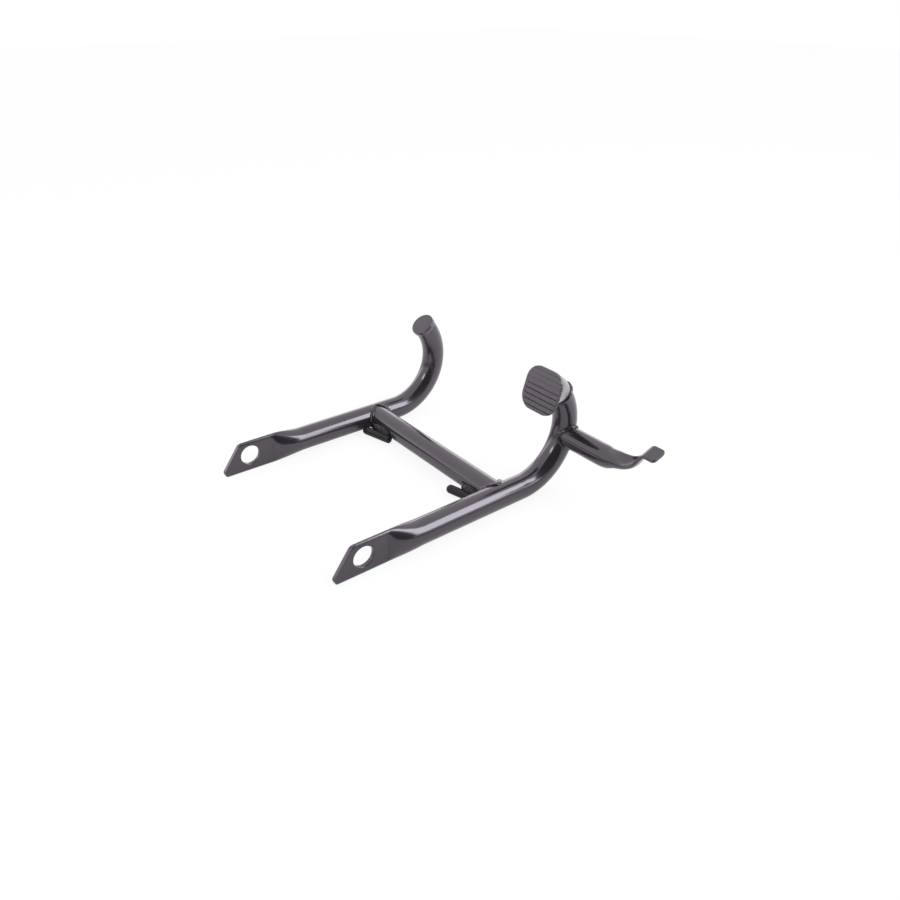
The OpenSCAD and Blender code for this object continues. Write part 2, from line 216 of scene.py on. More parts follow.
@dataclass(frozen=True)
class PaintFinish:
    """Black paint over steel, with its gloss, its orange peel and the dust on it."""

    name: str
    colour: tuple[float, float, float] = (0.0135, 0.0120, 0.0142)
    dust_colour: tuple[float, float, float] = (0.045, 0.042, 0.046)
    # Lavender tint of the gloss: the colour of the studio light painted into the paint's reflections.
    tint: tuple[float, float, float] = (0.99, 0.875, 1.0)
    ior: float = 1.9
    sheen: float = 0.35
    sheen_rough: float = 0.35
    # Lavender tint of the sheen: the colour of the studio light painted into the sheen.
    sheen_tint: tuple[float, float, float] = (1.0, 0.93, 1.0)
    smooth: float = 0.13
    dull: float = 0.18
    peel_size: float = 2.2
    peel_depth: float = 0.003
    grain_size: float = 0.35
    grain_depth: float = 0.0
    dust: float = 0.35

    def material(self) -> bpy.types.Material:
        """Builds the material.

        Returns:
            A node material that reads Object coordinates.
        """
        made = bpy.data.materials.new(self.name)
        made.use_nodes = True
        made.node_tree.nodes.clear()
        sheet = NodeSheet(made.node_tree)
        place = sheet.add("ShaderNodeTexCoord").outputs["Object"]
        # The specular and sheen tints carry the painted colour of the studio light.
        shader = sheet.add("ShaderNodeBsdfPrincipled", {
            "IOR": self.ior, "Specular Tint": (*self.tint, 1.0), "Sheen Weight": self.sheen,
            "Sheen Roughness": self.sheen_rough, "Sheen Tint": (*self.sheen_tint, 1.0)})
        sheet.feed(shader.inputs["Base Color"], self._colour(sheet, place))
        cloud = self._noise(sheet, place, 22.0, 3.0)
        fine = self._noise(sheet, place, 2.2, 2.0)
        blend = sheet.maths("ADD", sheet.maths("MULTIPLY", cloud, 0.65), sheet.maths("MULTIPLY", fine, 0.35))
        sheet.feed(shader.inputs["Roughness"], sheet.span(blend, 0.35, 0.65, self.smooth, self.dull))
        sheet.feed(shader.inputs["Normal"], self._relief(sheet, place))
        out = sheet.add("ShaderNodeOutputMaterial")
        sheet.tree.links.new(shader.outputs[0], out.inputs[0])
        return made

    @staticmethod
    def _noise(sheet: NodeSheet, place: bpy.types.NodeSocket, size: float, detail: float) -> bpy.types.NodeSocket:
        """Noise whose lumps are about size millimetres wide."""
        given = {"Vector": place, "Scale": 1.0 / (size * MILLIMETRE), "Detail": detail}
        return sheet.add("ShaderNodeTexNoise", given).outputs["Fac"]

    def _colour(self, sheet: NodeSheet, place: bpy.types.NodeSocket) -> bpy.types.NodeSocket:
        """Paint with a few pale specks of dust and a faint drift from place to place."""
        specks = sheet.span(self._noise(sheet, place, 0.7, 1.0), 0.66, 0.74, 0.0, 1.0)
        drift = sheet.span(self._noise(sheet, place, 35.0, 2.0), 0.3, 0.7, 0.0, 0.3)
        share = sheet.maths("MULTIPLY", sheet.maths("ADD", specks, drift), self.dust)
        blend = sheet.add("ShaderNodeMix", data_type="RGBA", clamp_factor=True)
        sheet.feed(blend.inputs["Factor"], share)
        sheet.feed(blend.inputs[6], (*self.colour, 1.0))
        sheet.feed(blend.inputs[7], (*self.dust_colour, 1.0))
        return blend.outputs[2]

    def _relief(self, sheet: NodeSheet, place: bpy.types.NodeSocket) -> bpy.types.NodeSocket:
        """Orange peel, and under it the grain of a rough surface where there is one."""
        peel = sheet.add("ShaderNodeBump", {
            "Height": self._noise(sheet, place, self.peel_size, 2.0),
            "Distance": self.peel_depth * MILLIMETRE, "Strength": 1.0})
        if self.grain_depth:
            grain = sheet.add("ShaderNodeBump", {
                "Height": self._noise(sheet, place, self.grain_size, 3.0),
                "Distance": self.grain_depth * MILLIMETRE, "Strength": 1.0})
            sheet.tree.links.new(grain.outputs[0], peel.inputs["Normal"])
        return peel.outputs[0]


@dataclass(frozen=True)
class Finishes:
    """The paints of the stand, by piece."""

    tube: PaintFinish = PaintFinish("gloss_black_tube")
    lug: PaintFinish = PaintFinish("gloss_black_pressed", smooth=0.14, dull=0.22)
    plate: PaintFinish = PaintFinish("satin_black_plate", colour=(0.036, 0.033, 0.037), smooth=0.3, dull=0.38,
                                     grain_depth=0.006)
    neck: PaintFinish = PaintFinish("satin_black_neck", sheen=0.8, sheen_rough=0.5, smooth=0.24, dull=0.36,
                                    peel_size=2.2, peel_depth=0.03)
    weld: PaintFinish = PaintFinish("gloss_black_weld", ior=1.7, sheen=0.1, smooth=0.13, dull=0.24, peel_size=1.1,
                                    peel_depth=0.03)
    # Pins and tacks: a darker copy of the gloss black, with a lower IOR and no sheen. It is painted shade for the
    # hooks that sit under the cross tube.
    pin: PaintFinish = PaintFinish("gloss_black_pin", colour=(0.008, 0.007, 0.009), ior=1.42, sheen=0.0,
                                   smooth=0.08, dull=0.14)
    tack: PaintFinish = PaintFinish("gloss_black_tack_painted_shade", colour=(0.008, 0.007, 0.009), ior=1.42, sheen=0.0,
                                    smooth=0.1, dull=0.2, peel_size=1.1, peel_depth=0.03)


class Piece:
    """Turns points and faces into a dressed mesh object that stands for a node."""

    @staticmethod
    def mesh(name: str, points: np.ndarray, faces: Sequence[Sequence[int]]) -> bpy.types.Mesh:
        """Makes a closed mesh with its faces outwards.

        Args:
            name: Name of the mesh.
            points: Points in metres, in the part's frame.
            faces: Corner numbers of each face.

        Returns:
            The mesh, doubles merged.
        """
        made = bpy.data.meshes.new(name)
        made.from_pydata(points.tolist(), [], [list(face) for face in faces])
        Piece.clean(made)
        return made

    @staticmethod
    def clean(made: bpy.types.Mesh) -> None:
        """Drops loose points, merges doubles, turns faces outwards and shades them smooth."""
        work = bmesh.new()
        work.from_mesh(made)
        loose = [point for point in work.verts if not point.link_faces]
        bmesh.ops.delete(work, geom=loose, context="VERTS")
        bmesh.ops.remove_doubles(work, verts=work.verts, dist=2e-6)
        bmesh.ops.dissolve_degenerate(work, dist=1e-7, edges=work.edges)
        bmesh.ops.recalc_face_normals(work, faces=work.faces)
        for face in work.faces:
            face.smooth = True
        work.to_mesh(made)
        work.free()

    @staticmethod
    def dress(name: str, made: bpy.types.Mesh, paint: bpy.types.Material, node: str,
              sharp: float | None = 50.0) -> bpy.types.Object:
        """Puts a mesh in the scene, in place of a node.

        Args:
            name: Name of the piece.
            made: Its mesh, in metres in the part's frame.
            paint: Its material.
            node: The node that it replaces.
            sharp: Angle in degrees over which an edge stays sharp.

        Returns:
            The new object.
        """
        made.materials.clear()
        made.materials.append(paint)
        if sharp is not None:
            made.set_sharp_from_angle(angle=math.radians(sharp))
        piece = bpy.data.objects.new(name, made)
        bpy.context.scene.collection.objects.link(piece)
        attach(piece, "root")
        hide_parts(node)
        LOG.info("%s: %d faces", name, len(made.polygons))
        return piece

    @staticmethod
    def loft(rings: Sequence[np.ndarray], closed: bool = False,
             skipped: set[tuple[int, int]] | None = None) -> list[tuple[int, ...]]:
        """Faces between rings of equal length.

        Args:
            rings: The rings, in order.
            closed: Whether the last ring runs back into the first.
            skipped: Faces to leave out, as ring and corner number.

        Returns:
            Four corners for each face.
        """
        around = len(rings[0])
        last = len(rings) if closed else len(rings) - 1
        left_out = skipped or set()
        return [
            (i * around + j, (i + 1) % len(rings) * around + j,
             (i + 1) % len(rings) * around + (j + 1) % around, i * around + (j + 1) % around)
            for i in range(last) for j in range(around) if (i, j) not in left_out]

    @staticmethod
    def lathe(profile: Sequence[tuple[float, float]], around: int) -> tuple[np.ndarray, list[tuple[int, ...]]]:
        """Turned body about Z.

        Args:
            profile: Radius and height of each ring, from pole to pole.
            around: Points in a ring.

        Returns:
            Points in millimetres, and faces.
        """
        angles = np.linspace(0.0, 2 * math.pi, around, endpoint=False)
        rings = [np.stack([r * np.cos(angles), r * np.sin(angles), np.full(around, z)], axis=1)
                 for r, z in profile]
        return np.concatenate(rings), Piece.loft(rings)


@dataclass
class LegTube:
    """One leg: a tube pressed into a drilled lug at one end and bent up at the other."""

    frame: StandFrame
    side: Side
    quarter: int = 24
    lug_thick_half: float = 2.2
    lug_bottom_lead: float = 30.48
    lug_top_lead: float = 9.0
    toe_round: float = 4.5
    brow_round: float = 8.0
    edge_zone: float = 3.6
    end_round: float = 0.45
    taper: float = 32.0
    open_share: float = 0.875
    open_power: float = 0.7
    shrink_start: float = 0.12
    lens_power: float = 0.95
    hole_radius: float = 9.3
    rim_round: float = 0.7
    rim_margin: float = 0.7
    end_steps: int = 8
    flat_steps: int = 26
    taper_steps: int = 44
    run_steps: int = 8
    bend_steps: int = 72
    patch_rows: tuple[int, int] = (3, 20)
    patch_columns: tuple[int, int] = (-12, 15)

    def build(self, paint: bpy.types.Material) -> bpy.types.Object:
        """Builds the leg and stands it for its node."""
        node = f"leg_{self.side.name.lower()}"
        rings = self._outer_rings() + self._inner_rings()
        rows = [self.end_steps + row for row in self.patch_rows]
        low, high = self.patch_columns
        half = 2 * self.quarter
        skipped = {(i, j % (2 * half)) for i in range(rows[0], rows[1])
                   for j in [*range(low, high), *range(half - high, half - low)]}
        faces = Piece.loft(rings, skipped=skipped)
        faces += self._end_face()
        around = 2 * half
        faces.append(tuple((len(rings) - 1) * around + j for j in range(around)))
        points = [np.concatenate(rings)]
        self._add_hole(points, faces, rings, rows)
        placed = np.concatenate(points) + np.array([0.0, self.frame.leg_y(self.side), 0.0])
        made = Piece.mesh(f"{node}_tube", self.frame.to_part(placed), faces)
        return Piece.dress(f"{node}_tube", made, paint, node)

    def _angles(self) -> tuple[np.ndarray, np.ndarray]:
        """Cosine and sine of the angle of each point round a ring, from +Y towards +Z."""
        angle = np.arange(4 * self.quarter) * (math.pi / 2 / self.quarter)
        cos, sin = np.cos(angle), np.sin(angle)
        cos[np.abs(cos) < TINY] = 0.0
        return cos, sin

    def _flat_half(self, height: np.ndarray) -> np.ndarray:
        """Half thickness of the lug at a height, its long edges fully round."""
        over = np.maximum(np.abs(height) - (self.frame.lug_half - self.edge_zone), 0.0) / self.edge_zone
        return self.lug_thick_half * np.sqrt(np.maximum(1.0 - over ** 2, 0.0))

    def _end_at(self, height: np.ndarray) -> np.ndarray:
        """Where the slanted end lies at a height, its two corners round."""
        top = self.frame.lug_half
        slope = (self.lug_bottom_lead - self.lug_top_lead) / (2 * top)
        line = -self.lug_bottom_lead + (height + top) * slope
        lean = math.atan2(2 * top, self.lug_bottom_lead - self.lug_top_lead)
        toe, brow = self.toe_round, self.brow_round
        toe_x = -self.lug_bottom_lead + toe / math.tan(lean / 2)
        toe_z = -top + toe
        touch_z = -top + toe * (1 + math.cos(lean))
        arc = toe_x - np.sqrt(np.maximum(toe ** 2 - (height - toe_z) ** 2, 0.0))
        low = np.where(height < touch_z, arc, line)
        brow_x = -self.lug_top_lead + brow * math.tan(lean / 2)
        brow_z = top - brow
        high = brow_x - np.sqrt(np.maximum(brow ** 2 - (height - brow_z) ** 2, 0.0))
        return np.where(height > top - brow * (1 - math.cos(lean)), high, low)

    def _outer_rings(self) -> list[np.ndarray]:
        """Rings of the outside, from the slanted end to the cut end."""
        cos, sin = self._angles()
        frame = self.frame
        side = np.sign(cos)
        height = frame.lug_half * sin
        half = self._flat_half(height)
        end = self._end_at(height)
        lean = math.atan2(2 * frame.lug_half, self.lug_bottom_lead - self.lug_top_lead)
        rings = []
        for step in range(self.end_steps + 1):
            turn = math.pi / 2 * step / self.end_steps
            edge = np.minimum(self.end_round, 0.7 * half)
            x = end + edge * (1 - math.cos(turn)) / math.sin(lean)
            rings.append(np.stack([x, side * (half - edge * (1 - math.sin(turn))), height], axis=1))
        start = rings[-1][:, 0]
        for step in range(1, self.flat_steps + 1):
            x = mix(start, frame.lug_flat, step / self.flat_steps)
            rings.append(np.stack([x, side * half, height], axis=1))
        for step in range(1, self.taper_steps + 1):
            rings.append(self._taper_ring(step / self.taper_steps))
        circle = np.stack([np.zeros_like(cos), frame.leg_radius * cos, frame.leg_radius * sin], axis=1)
        start_x = frame.lug_flat + self.taper
        for step in range(1, self.run_steps + 1):
            rings.append(circle + [mix(start_x, frame.leg_run, step / self.run_steps), 0.0, 0.0])
        rings += self._bend_rings(frame.leg_radius, range(1, self.bend_steps + 1))
        return rings

    def _taper_ring(self, share: float) -> np.ndarray:
        """Ring behind the press mark, where the flat lug opens through a lens into the tube."""
        cos, sin = self._angles()
        frame = self.frame
        sunk = ease((share - self.shrink_start) / (1 - self.shrink_start))
        tall = mix(frame.lug_half, frame.leg_radius, sunk)
        opened = (1.0 - (1.0 - min(share / self.open_share, 1.0)) ** 2) ** self.open_power
        bulge = np.abs(cos) ** (1.0 + self.lens_power * (1.0 - opened ** 2))
        half = mix(self._flat_half(frame.lug_half * sin), frame.leg_radius * bulge, opened)
        x = np.full_like(cos, frame.lug_flat + self.taper * share)
        return np.stack([x, np.sign(cos) * half, tall * sin], axis=1)

    def _bend_rings(self, radius: float, steps: Sequence[int]) -> list[np.ndarray]:
        """Rings of a radius along the bend."""
        cos, sin = self._angles()
        rings = []
        for step in steps:
            centre, inward = self.frame.bend_spine(self.frame.bend_angle * step / self.bend_steps)
            rings.append(centre + radius * (cos[:, None] * np.array([0.0, 1.0, 0.0]) + sin[:, None] * inward))
        return rings

    def _inner_rings(self) -> list[np.ndarray]:
        """Rings of the bore, from the cut end back to where the pressed walls meet."""
        cos, sin = self._angles()
        frame = self.frame
        bore = frame.leg_radius - frame.leg_wall
        rings = self._bend_rings(bore, range(self.bend_steps, -1, -4))
        opened = frame.lug_flat + self.taper
        closed = frame.lug_flat + self.taper / 2
        for x, r in ((opened, bore), (mix(closed, opened, 0.5), mix(1.1, bore, 0.5)), (closed, 1.1)):
            rings.append(np.stack([np.full_like(cos, x), r * cos, r * sin], axis=1))
        return rings

    def _end_face(self) -> list[tuple[int, ...]]:
        """Faces that close the slanted end, from one side of the lug to the other."""
        half = 2 * self.quarter
        count = 2 * half
        return [(j % count, (j + 1) % count, half - j - 1, half - j)
                for j in range(-self.quarter, self.quarter)]

    def _add_hole(self, points: list[np.ndarray], faces: list[tuple[int, ...]],
                  rings: list[np.ndarray], rows: Sequence[int]) -> None:
        """Fills the left-out patch of each lug face round the drilled hole.

        Args:
            points: Arrays of points, to which the new ones are added.
            faces: Faces, to which the new ones are added.
            rings: Rings of the leg, whose faces are left out inside the patch.
            rows: First and last ring of the patch.
        """
        half = 2 * self.quarter
        around = 2 * half
        low, high = self.patch_columns
        first, last = rows
        path = [(first, j) for j in range(low, high)]
        path += [(i, high) for i in range(first, last)]
        path += [(last, j) for j in range(high, low, -1)]
        path += [(i, low) for i in range(last, first, -1)]
        rise = self.frame.pivot_rise
        rounds = [(self.hole_radius + self.rim_round + self.rim_margin, 0.0), (self.hole_radius + self.rim_round, 0.0)]
        for step in range(1, 5):
            turn = math.pi / 2 * step / 4
            rounds.append((self.hole_radius + self.rim_round * (1 - math.sin(turn)),
                           self.rim_round * (1 - math.cos(turn))))
        base = sum(len(part) for part in points)
        inner: list[list[int]] = []
        for sign in (1, -1):
            loop = [i * around + (j % around if sign > 0 else half - j) for i, j in path]
            corners = np.array([rings[i][j % around] for i, j in path])
            turn = np.arctan2(corners[:, 2] - rise, corners[:, 0])
            for radius, sunk in rounds:
                y = np.full_like(turn, sign * (self.lug_thick_half - sunk))
                points.append(np.stack([radius * np.cos(turn), y, rise + radius * np.sin(turn)], axis=1))
                here = list(range(base, base + len(path)))
                base += len(path)
                faces += [(loop[k], loop[(k + 1) % len(path)], here[(k + 1) % len(path)], here[k])
                          for k in range(len(path))]
                loop = here
            inner.append(loop)
        near, far = inner
        faces += [(near[k], near[(k + 1) % len(near)], far[(k + 1) % len(near)], far[k]) for k in range(len(near))]


@dataclass
class CrossTube:
    """Tube between the legs, its ends cut to saddles."""

    frame: StandFrame
    wall: float = 2.2
    around: int = 96
    steps: int = 24

    def build(self, paint: bpy.types.Material) -> bpy.types.Object:
        """Builds the tube and stands it for its node."""
        outer = self.frame.cross_radius
        rings = [self._ring(outer, share) for share in np.linspace(-1.0, 1.0, self.steps + 1)]
        rings += [self._ring(outer - self.wall, share) for share in np.linspace(1.0, -1.0, self.steps + 1)]
        placed = self.frame.to_part(np.concatenate(rings))
        made = Piece.mesh("cross_tube_bar", placed, Piece.loft(rings, closed=True))
        return Piece.dress("cross_tube_bar", made, paint, "cross_tube")

    def _ring(self, radius: float, share: float) -> np.ndarray:
        """Ring at a share of the way from the middle to the saddle."""
        frame = self.frame
        angle = np.linspace(0.0, 2 * math.pi, self.around, endpoint=False)
        z = radius * np.cos(angle)
        reach = frame.leg_spacing / 2 - np.sqrt((frame.leg_radius + frame.root_gap) ** 2 - z ** 2)
        return np.stack([frame.cross_at + radius * np.sin(angle), share * reach, z], axis=1)


@dataclass
class EndCap:
    """Round cap on the cut end of the far leg."""

    frame: StandFrame
    radius: float = 11.99
    thick: float = 5.0
    edge: float = 1.0
    crown: float = 0.15
    around: int = 96

    def build(self, paint: bpy.types.Material) -> bpy.types.Object:
        """Builds the cap and stands it for its node."""
        profile = [(0.0, 0.0), (self.radius - 0.3, 0.0), (self.radius, 0.3)]
        profile.append((self.radius, self.thick - self.crown - self.edge))
        for step in range(1, 9):
            turn = math.pi / 2 * step / 8
            profile.append((self.radius - self.edge * (1 - math.cos(turn)),
                            self.thick - self.crown - self.edge * (1 - math.sin(turn))))
        flat = self.radius - self.edge
        for share in (0.75, 0.5, 0.25, 0.0):
            profile.append((flat * share, self.thick - self.crown * share ** 2))
        points, faces = Piece.lathe(profile, self.around)
        centre, out, ahead = self.frame.tube_end(Side.FAR)
        across = np.array([0.0, 1.0, 0.0])
        placed = centre + points @ np.stack([out, across, ahead])
        made = Piece.mesh("end_cap_disc", self.frame.to_part(placed), faces)
        return Piece.dress("end_cap_disc", made, paint, "end_cap")


class GeometryTree:
    """A Geometry Nodes tree with named inputs, and the run that turns it into a plain mesh."""

    SOCKETS = {int: "NodeSocketInt", float: "NodeSocketFloat"}

    def __init__(self, name: str, sizes: dict[str, int | float]) -> None:
        """Makes the tree with one input for each size."""
        self.tree = bpy.data.node_groups.new(name, "GeometryNodeTree")
        self.sizes = sizes
        face = self.tree.interface
        face.new_socket("Geometry", in_out="INPUT", socket_type="NodeSocketGeometry")
        for label, value in sizes.items():
            face.new_socket(label, in_out="INPUT", socket_type=self.SOCKETS[type(value)])
        face.new_socket("Paint", in_out="INPUT", socket_type="NodeSocketMaterial")
        face.new_socket("Geometry", in_out="OUTPUT", socket_type="NodeSocketGeometry")
        self.sheet = NodeSheet(self.tree)
        self.given = self.sheet.add("NodeGroupInput").outputs

    def attribute(self, label: str) -> bpy.types.NodeSocket:
        """Named attribute of the geometry, as a number."""
        node = self.sheet.add("GeometryNodeInputNamedAttribute", {"Name": label}, data_type="FLOAT")
        return node.outputs["Attribute"]

    def close(self, shape: bpy.types.NodeSocket) -> None:
        """Ends the tree with smooth shading, Realize Instances and Set Material."""
        smooth = self.sheet.add("GeometryNodeSetShadeSmooth", {"Geometry": shape}).outputs[0]
        real = self.sheet.add("GeometryNodeRealizeInstances", {"Geometry": smooth}).outputs[0]
        painted = self.sheet.add("GeometryNodeSetMaterial", {"Geometry": real, "Material": self.given["Paint"]})
        self.sheet.add("NodeGroupOutput", {"Geometry": painted.outputs[0]})

    def run(self, host: bpy.types.Mesh, paint: bpy.types.Material) -> bpy.types.Mesh:
        """Evaluates the tree on a mesh.

        Args:
            host: Mesh that the tree starts from.
            paint: Material that the tree sets.

        Returns:
            The result as a plain mesh.
        """
        worker = bpy.data.objects.new("tree_host", host)
        bpy.context.scene.collection.objects.link(worker)
        step = worker.modifiers.new("shape", "NODES")
        step.node_group = self.tree
        for item in self.tree.interface.items_tree:
            if item.item_type == "SOCKET" and item.in_out == "INPUT":
                if item.name in self.sizes:
                    step[item.identifier] = self.sizes[item.name]
                elif item.name == "Paint":
                    step[item.identifier] = paint
        bpy.context.view_layer.update()
        graph = bpy.context.evaluated_depsgraph_get()
        made = bpy.data.meshes.new_from_object(worker.evaluated_get(graph), depsgraph=graph)
        worker.modifiers.remove(step)
        bpy.data.objects.remove(worker)
        return made


@dataclass
class StepPlate:
    """Ribbed foot plate and the neck that carries it, on the cut end of the near leg."""

    frame: StandFrame
    width: float = 39.5
    height: float = 38.0
    corner: float = 13.0
    thick: float = 1.3
    rib_height: float = 1.2
    rib_pitch: float = 4.45
    land_share: float = 0.72
    slope_share: float = 0.14
    worn_depth: float = 0.3
    worn_from: float = -3.5
    worn_run: float = 9.0
    rim_zone: float = 2.2
    fade_zone: float = 3.4
    edge: float = 0.6
    tilt: float = 33.0
    reach: float = 20.7
    inset: float = 11.3
    neck_margin: float = 2.4
    neck_power: float = 1.4
    knee_share: float = 0.45
    neck_rings: int = 40
    quarter: int = 20

    def build(self, plate_paint: bpy.types.Material, neck_paint: bpy.types.Material) -> None:
        """Builds the plate and its neck and stands them for their node."""
        origin, up, across, face = self._axes()
        made = self._ribbed_mesh(plate_paint)
        local = np.array([vertex.co for vertex in made.vertices])
        placed = origin + local @ np.stack([up, across, face])
        made.vertices.foreach_set("co", self.frame.to_part(placed).astype(np.float32).ravel())
        Piece.clean(made)
        Piece.dress("step_plate_face", made, plate_paint, "step_plate", sharp=40.0)
        self._neck(neck_paint)

    def _axes(self) -> tuple[np.ndarray, np.ndarray, np.ndarray, np.ndarray]:
        """Centre of the face, the direction up it, across it and out of it."""
        centre, out, ahead = self.frame.tube_end(Side.NEAR)
        turn = math.radians(self.tilt)
        up = out * math.cos(turn) + ahead * math.sin(turn)
        face = ahead * math.cos(turn) - out * math.sin(turn)
        origin = centre - self.inset * out + self.reach * ahead
        return origin, up, np.array([0.0, 1.0, 0.0]), face

    def _ribbed_mesh(self, paint: bpy.types.Material) -> bpy.types.Mesh:
        """Plate with its row of ribs, made by a node tree from a finely cut block."""
        block = GeometryTree("ribbed_plate", {
            "Width": self.width, "Height": self.height, "Corner Round": self.corner,
            "Plate Thickness": self.thick, "Rib Height": self.rib_height, "Rib Pitch": self.rib_pitch,
            "Land Share": self.land_share, "Slope Share": self.slope_share, "Edge Round": self.edge,
            "Worn Depth": self.worn_depth, "Worn From": self.worn_from, "Worn Run": self.worn_run,
            "Rim Zone": self.rim_zone, "Fade Zone": self.fade_zone})
        sheet, given = block.sheet, block.given
        cube = sheet.add("GeometryNodeMeshCube", {
            "Size": (2.0, 2.0, 2.0), "Vertices X": 260, "Vertices Y": 33, "Vertices Z": 2})
        spot = sheet.add("ShaderNodeSeparateXYZ", {0: sheet.add("GeometryNodeInputPosition").outputs[0]})
        half_height = sheet.maths("MULTIPLY", given["Height"], 0.5)
        half_width = sheet.maths("MULTIPLY", given["Width"], 0.5)
        x = sheet.maths("MULTIPLY", spot.outputs[0], half_height)
        size_x = sheet.maths("ABSOLUTE", x)
        straight = sheet.maths("SUBTRACT", half_height, given["Corner Round"])
        past = sheet.maths("MAXIMUM", sheet.maths("SUBTRACT", size_x, straight), 0.0)
        corner_sq = sheet.maths("MULTIPLY", given["Corner Round"], given["Corner Round"])
        left = sheet.maths("SUBTRACT", corner_sq, sheet.maths("MULTIPLY", past, past))
        bow = sheet.maths("SQRT", sheet.maths("MAXIMUM", left, 0.0))
        reach = sheet.maths("ADD", sheet.maths("SUBTRACT", half_width, given["Corner Round"]), bow)
        spread = sheet.maths("SINE", sheet.maths("MULTIPLY", spot.outputs[1], math.pi / 2))
        y = sheet.maths("MULTIPLY", spread, reach)
        to_side = sheet.maths("SUBTRACT", reach, sheet.maths("ABSOLUTE", y))
        faded = sheet.span(sheet.maths("SUBTRACT", reach, y), given["Edge Round"], given["Fade Zone"], 0.0, 1.0)
        to_end = sheet.maths("SUBTRACT", half_height, size_x)
        inside = sheet.maths("MINIMUM", to_side, to_end)
        worn = sheet.maths("MULTIPLY", sheet.span(x, given["Worn From"], sheet.maths(
            "ADD", given["Worn From"], given["Worn Run"]), 0.0, 1.0), sheet.span(
                inside, 0.0, given["Rim Zone"], 0.0, 1.0))
        kept = sheet.maths("SUBTRACT", 1.0, sheet.maths(
            "MULTIPLY", worn, sheet.maths("SUBTRACT", 1.0, given["Worn Depth"])))
        rib = sheet.maths("MULTIPLY", self._rib_depth(sheet, given, x), sheet.maths("MULTIPLY", kept, faded))
        edge = self._edge_drop(sheet, given, inside)
        top = sheet.maths("SUBTRACT", sheet.maths("MULTIPLY", rib, -1.0), edge)
        back = sheet.maths("MULTIPLY", sheet.maths("ADD", given["Plate Thickness"], given["Rib Height"]), -1.0)
        is_top = sheet.maths("GREATER_THAN", spot.outputs[2], 0.0)
        z = sheet.maths("ADD", back, sheet.maths("MULTIPLY", sheet.maths("SUBTRACT", top, back), is_top))
        place = sheet.add("ShaderNodeCombineXYZ", {0: x, 1: y, 2: z}).outputs[0]
        moved = sheet.add("GeometryNodeSetPosition", {"Geometry": cube.outputs[0], "Position": place})
        block.close(moved.outputs[0])
        return block.run(bpy.data.meshes.new("plate_host"), paint)

    @staticmethod
    def _rib_depth(sheet: NodeSheet, given: Any, x: bpy.types.NodeSocket) -> bpy.types.NodeSocket:
        """Depth below the ribs' top at a height on the plate."""
        turns = sheet.maths("ADD", sheet.maths("DIVIDE", x, given["Rib Pitch"]), 0.5)
        from_rib = sheet.maths("ABSOLUTE", sheet.maths("SUBTRACT", sheet.maths("FRACT", turns), 0.5))
        start = sheet.maths("SUBTRACT", sheet.maths("MULTIPLY", given["Land Share"], 0.5), 0.02)
        width = sheet.maths("ADD", sheet.maths("MULTIPLY", given["Slope Share"], 0.5), 0.04)
        end = sheet.maths("ADD", start, width)
        ramp = {"Value": from_rib, "From Min": start, "From Max": end, "To Min": 0.0, "To Max": given["Rib Height"]}
        return sheet.add("ShaderNodeMapRange", ramp, interpolation_type="SMOOTHSTEP").outputs[0]

    @staticmethod
    def _edge_drop(sheet: NodeSheet, given: Any, inside: bpy.types.NodeSocket) -> bpy.types.NodeSocket:
        """Drop of the rounded edge at a distance inside the outline."""
        share = sheet.maths("MINIMUM", sheet.maths("DIVIDE", inside, given["Edge Round"]), 1.0)
        gap = sheet.maths("SUBTRACT", 1.0, sheet.maths("MAXIMUM", share, 0.0))
        arc = sheet.maths("SQRT", sheet.maths("SUBTRACT", 1.0, sheet.maths("MULTIPLY", gap, gap)))
        return sheet.maths("MULTIPLY", sheet.maths("SUBTRACT", 1.0, arc), given["Edge Round"])

    def _neck(self, paint: bpy.types.Material) -> None:
        """Neck that opens from the tube's end to the back of the plate."""
        centre, out, ahead = self.frame.tube_end(Side.NEAR)
        across = np.array([0.0, 1.0, 0.0])
        rings = []
        for step in range(self.neck_rings + 1):
            place, tall, wide, corner, turn = self._neck_section(step / self.neck_rings)
            up = out * math.cos(turn) + ahead * math.sin(turn)
            middle = centre + place[0] * out + place[1] * ahead
            section = self._rounded_section(tall, wide, corner)
            rings.append(middle + section[:, :1] * up + section[:, 1:] * across)
        faces: list[tuple[int, ...]] = list(Piece.loft(rings))
        around = len(rings[0])
        faces.append(tuple(range(around)))
        faces.append(tuple((len(rings) - 1) * around + j for j in range(around)))
        made = Piece.mesh("step_plate_neck", self.frame.to_part(np.concatenate(rings)), faces)
        Piece.dress("step_plate_neck", made, paint, "step_plate")

    def _neck_section(self, share: float) -> tuple[np.ndarray, float, float, float, float]:
        """Place, half height, half width, corner round and turn of the neck at a share of its length."""
        flare = share ** self.neck_power
        back = self.thick + self.rib_height - 0.1
        turn = math.radians(self.tilt)
        end = np.array([-self.inset + back * math.sin(turn), self.reach - back * math.cos(turn)])
        knee = np.array([0.0, self.reach * self.knee_share])
        place = mix(knee * share, mix(knee, end, share), share)
        radius = self.frame.leg_radius
        tall = mix(radius, self.height / 2 - self.neck_margin, flare)
        wide = mix(radius, self.width / 2 - self.neck_margin, flare)
        corner = min(tall, wide, mix(radius, self.corner - self.neck_margin, flare))
        return place, tall, wide, corner, turn * share

    def _rounded_section(self, tall: float, wide: float, corner: float) -> np.ndarray:
        """Rounded rectangle as up and across values."""
        points = []
        for quarter in range(4):
            up = 1 if quarter in (0, 3) else -1
            side = 1 if quarter < 2 else -1
            for step in range(self.quarter):
                turn = math.pi / 2 * (quarter + (step + 0.5) / self.quarter)
                points.append((up * (tall - corner) + corner * math.cos(turn),
                               side * (wide - corner) + corner * math.sin(turn)))
        return np.array(points)


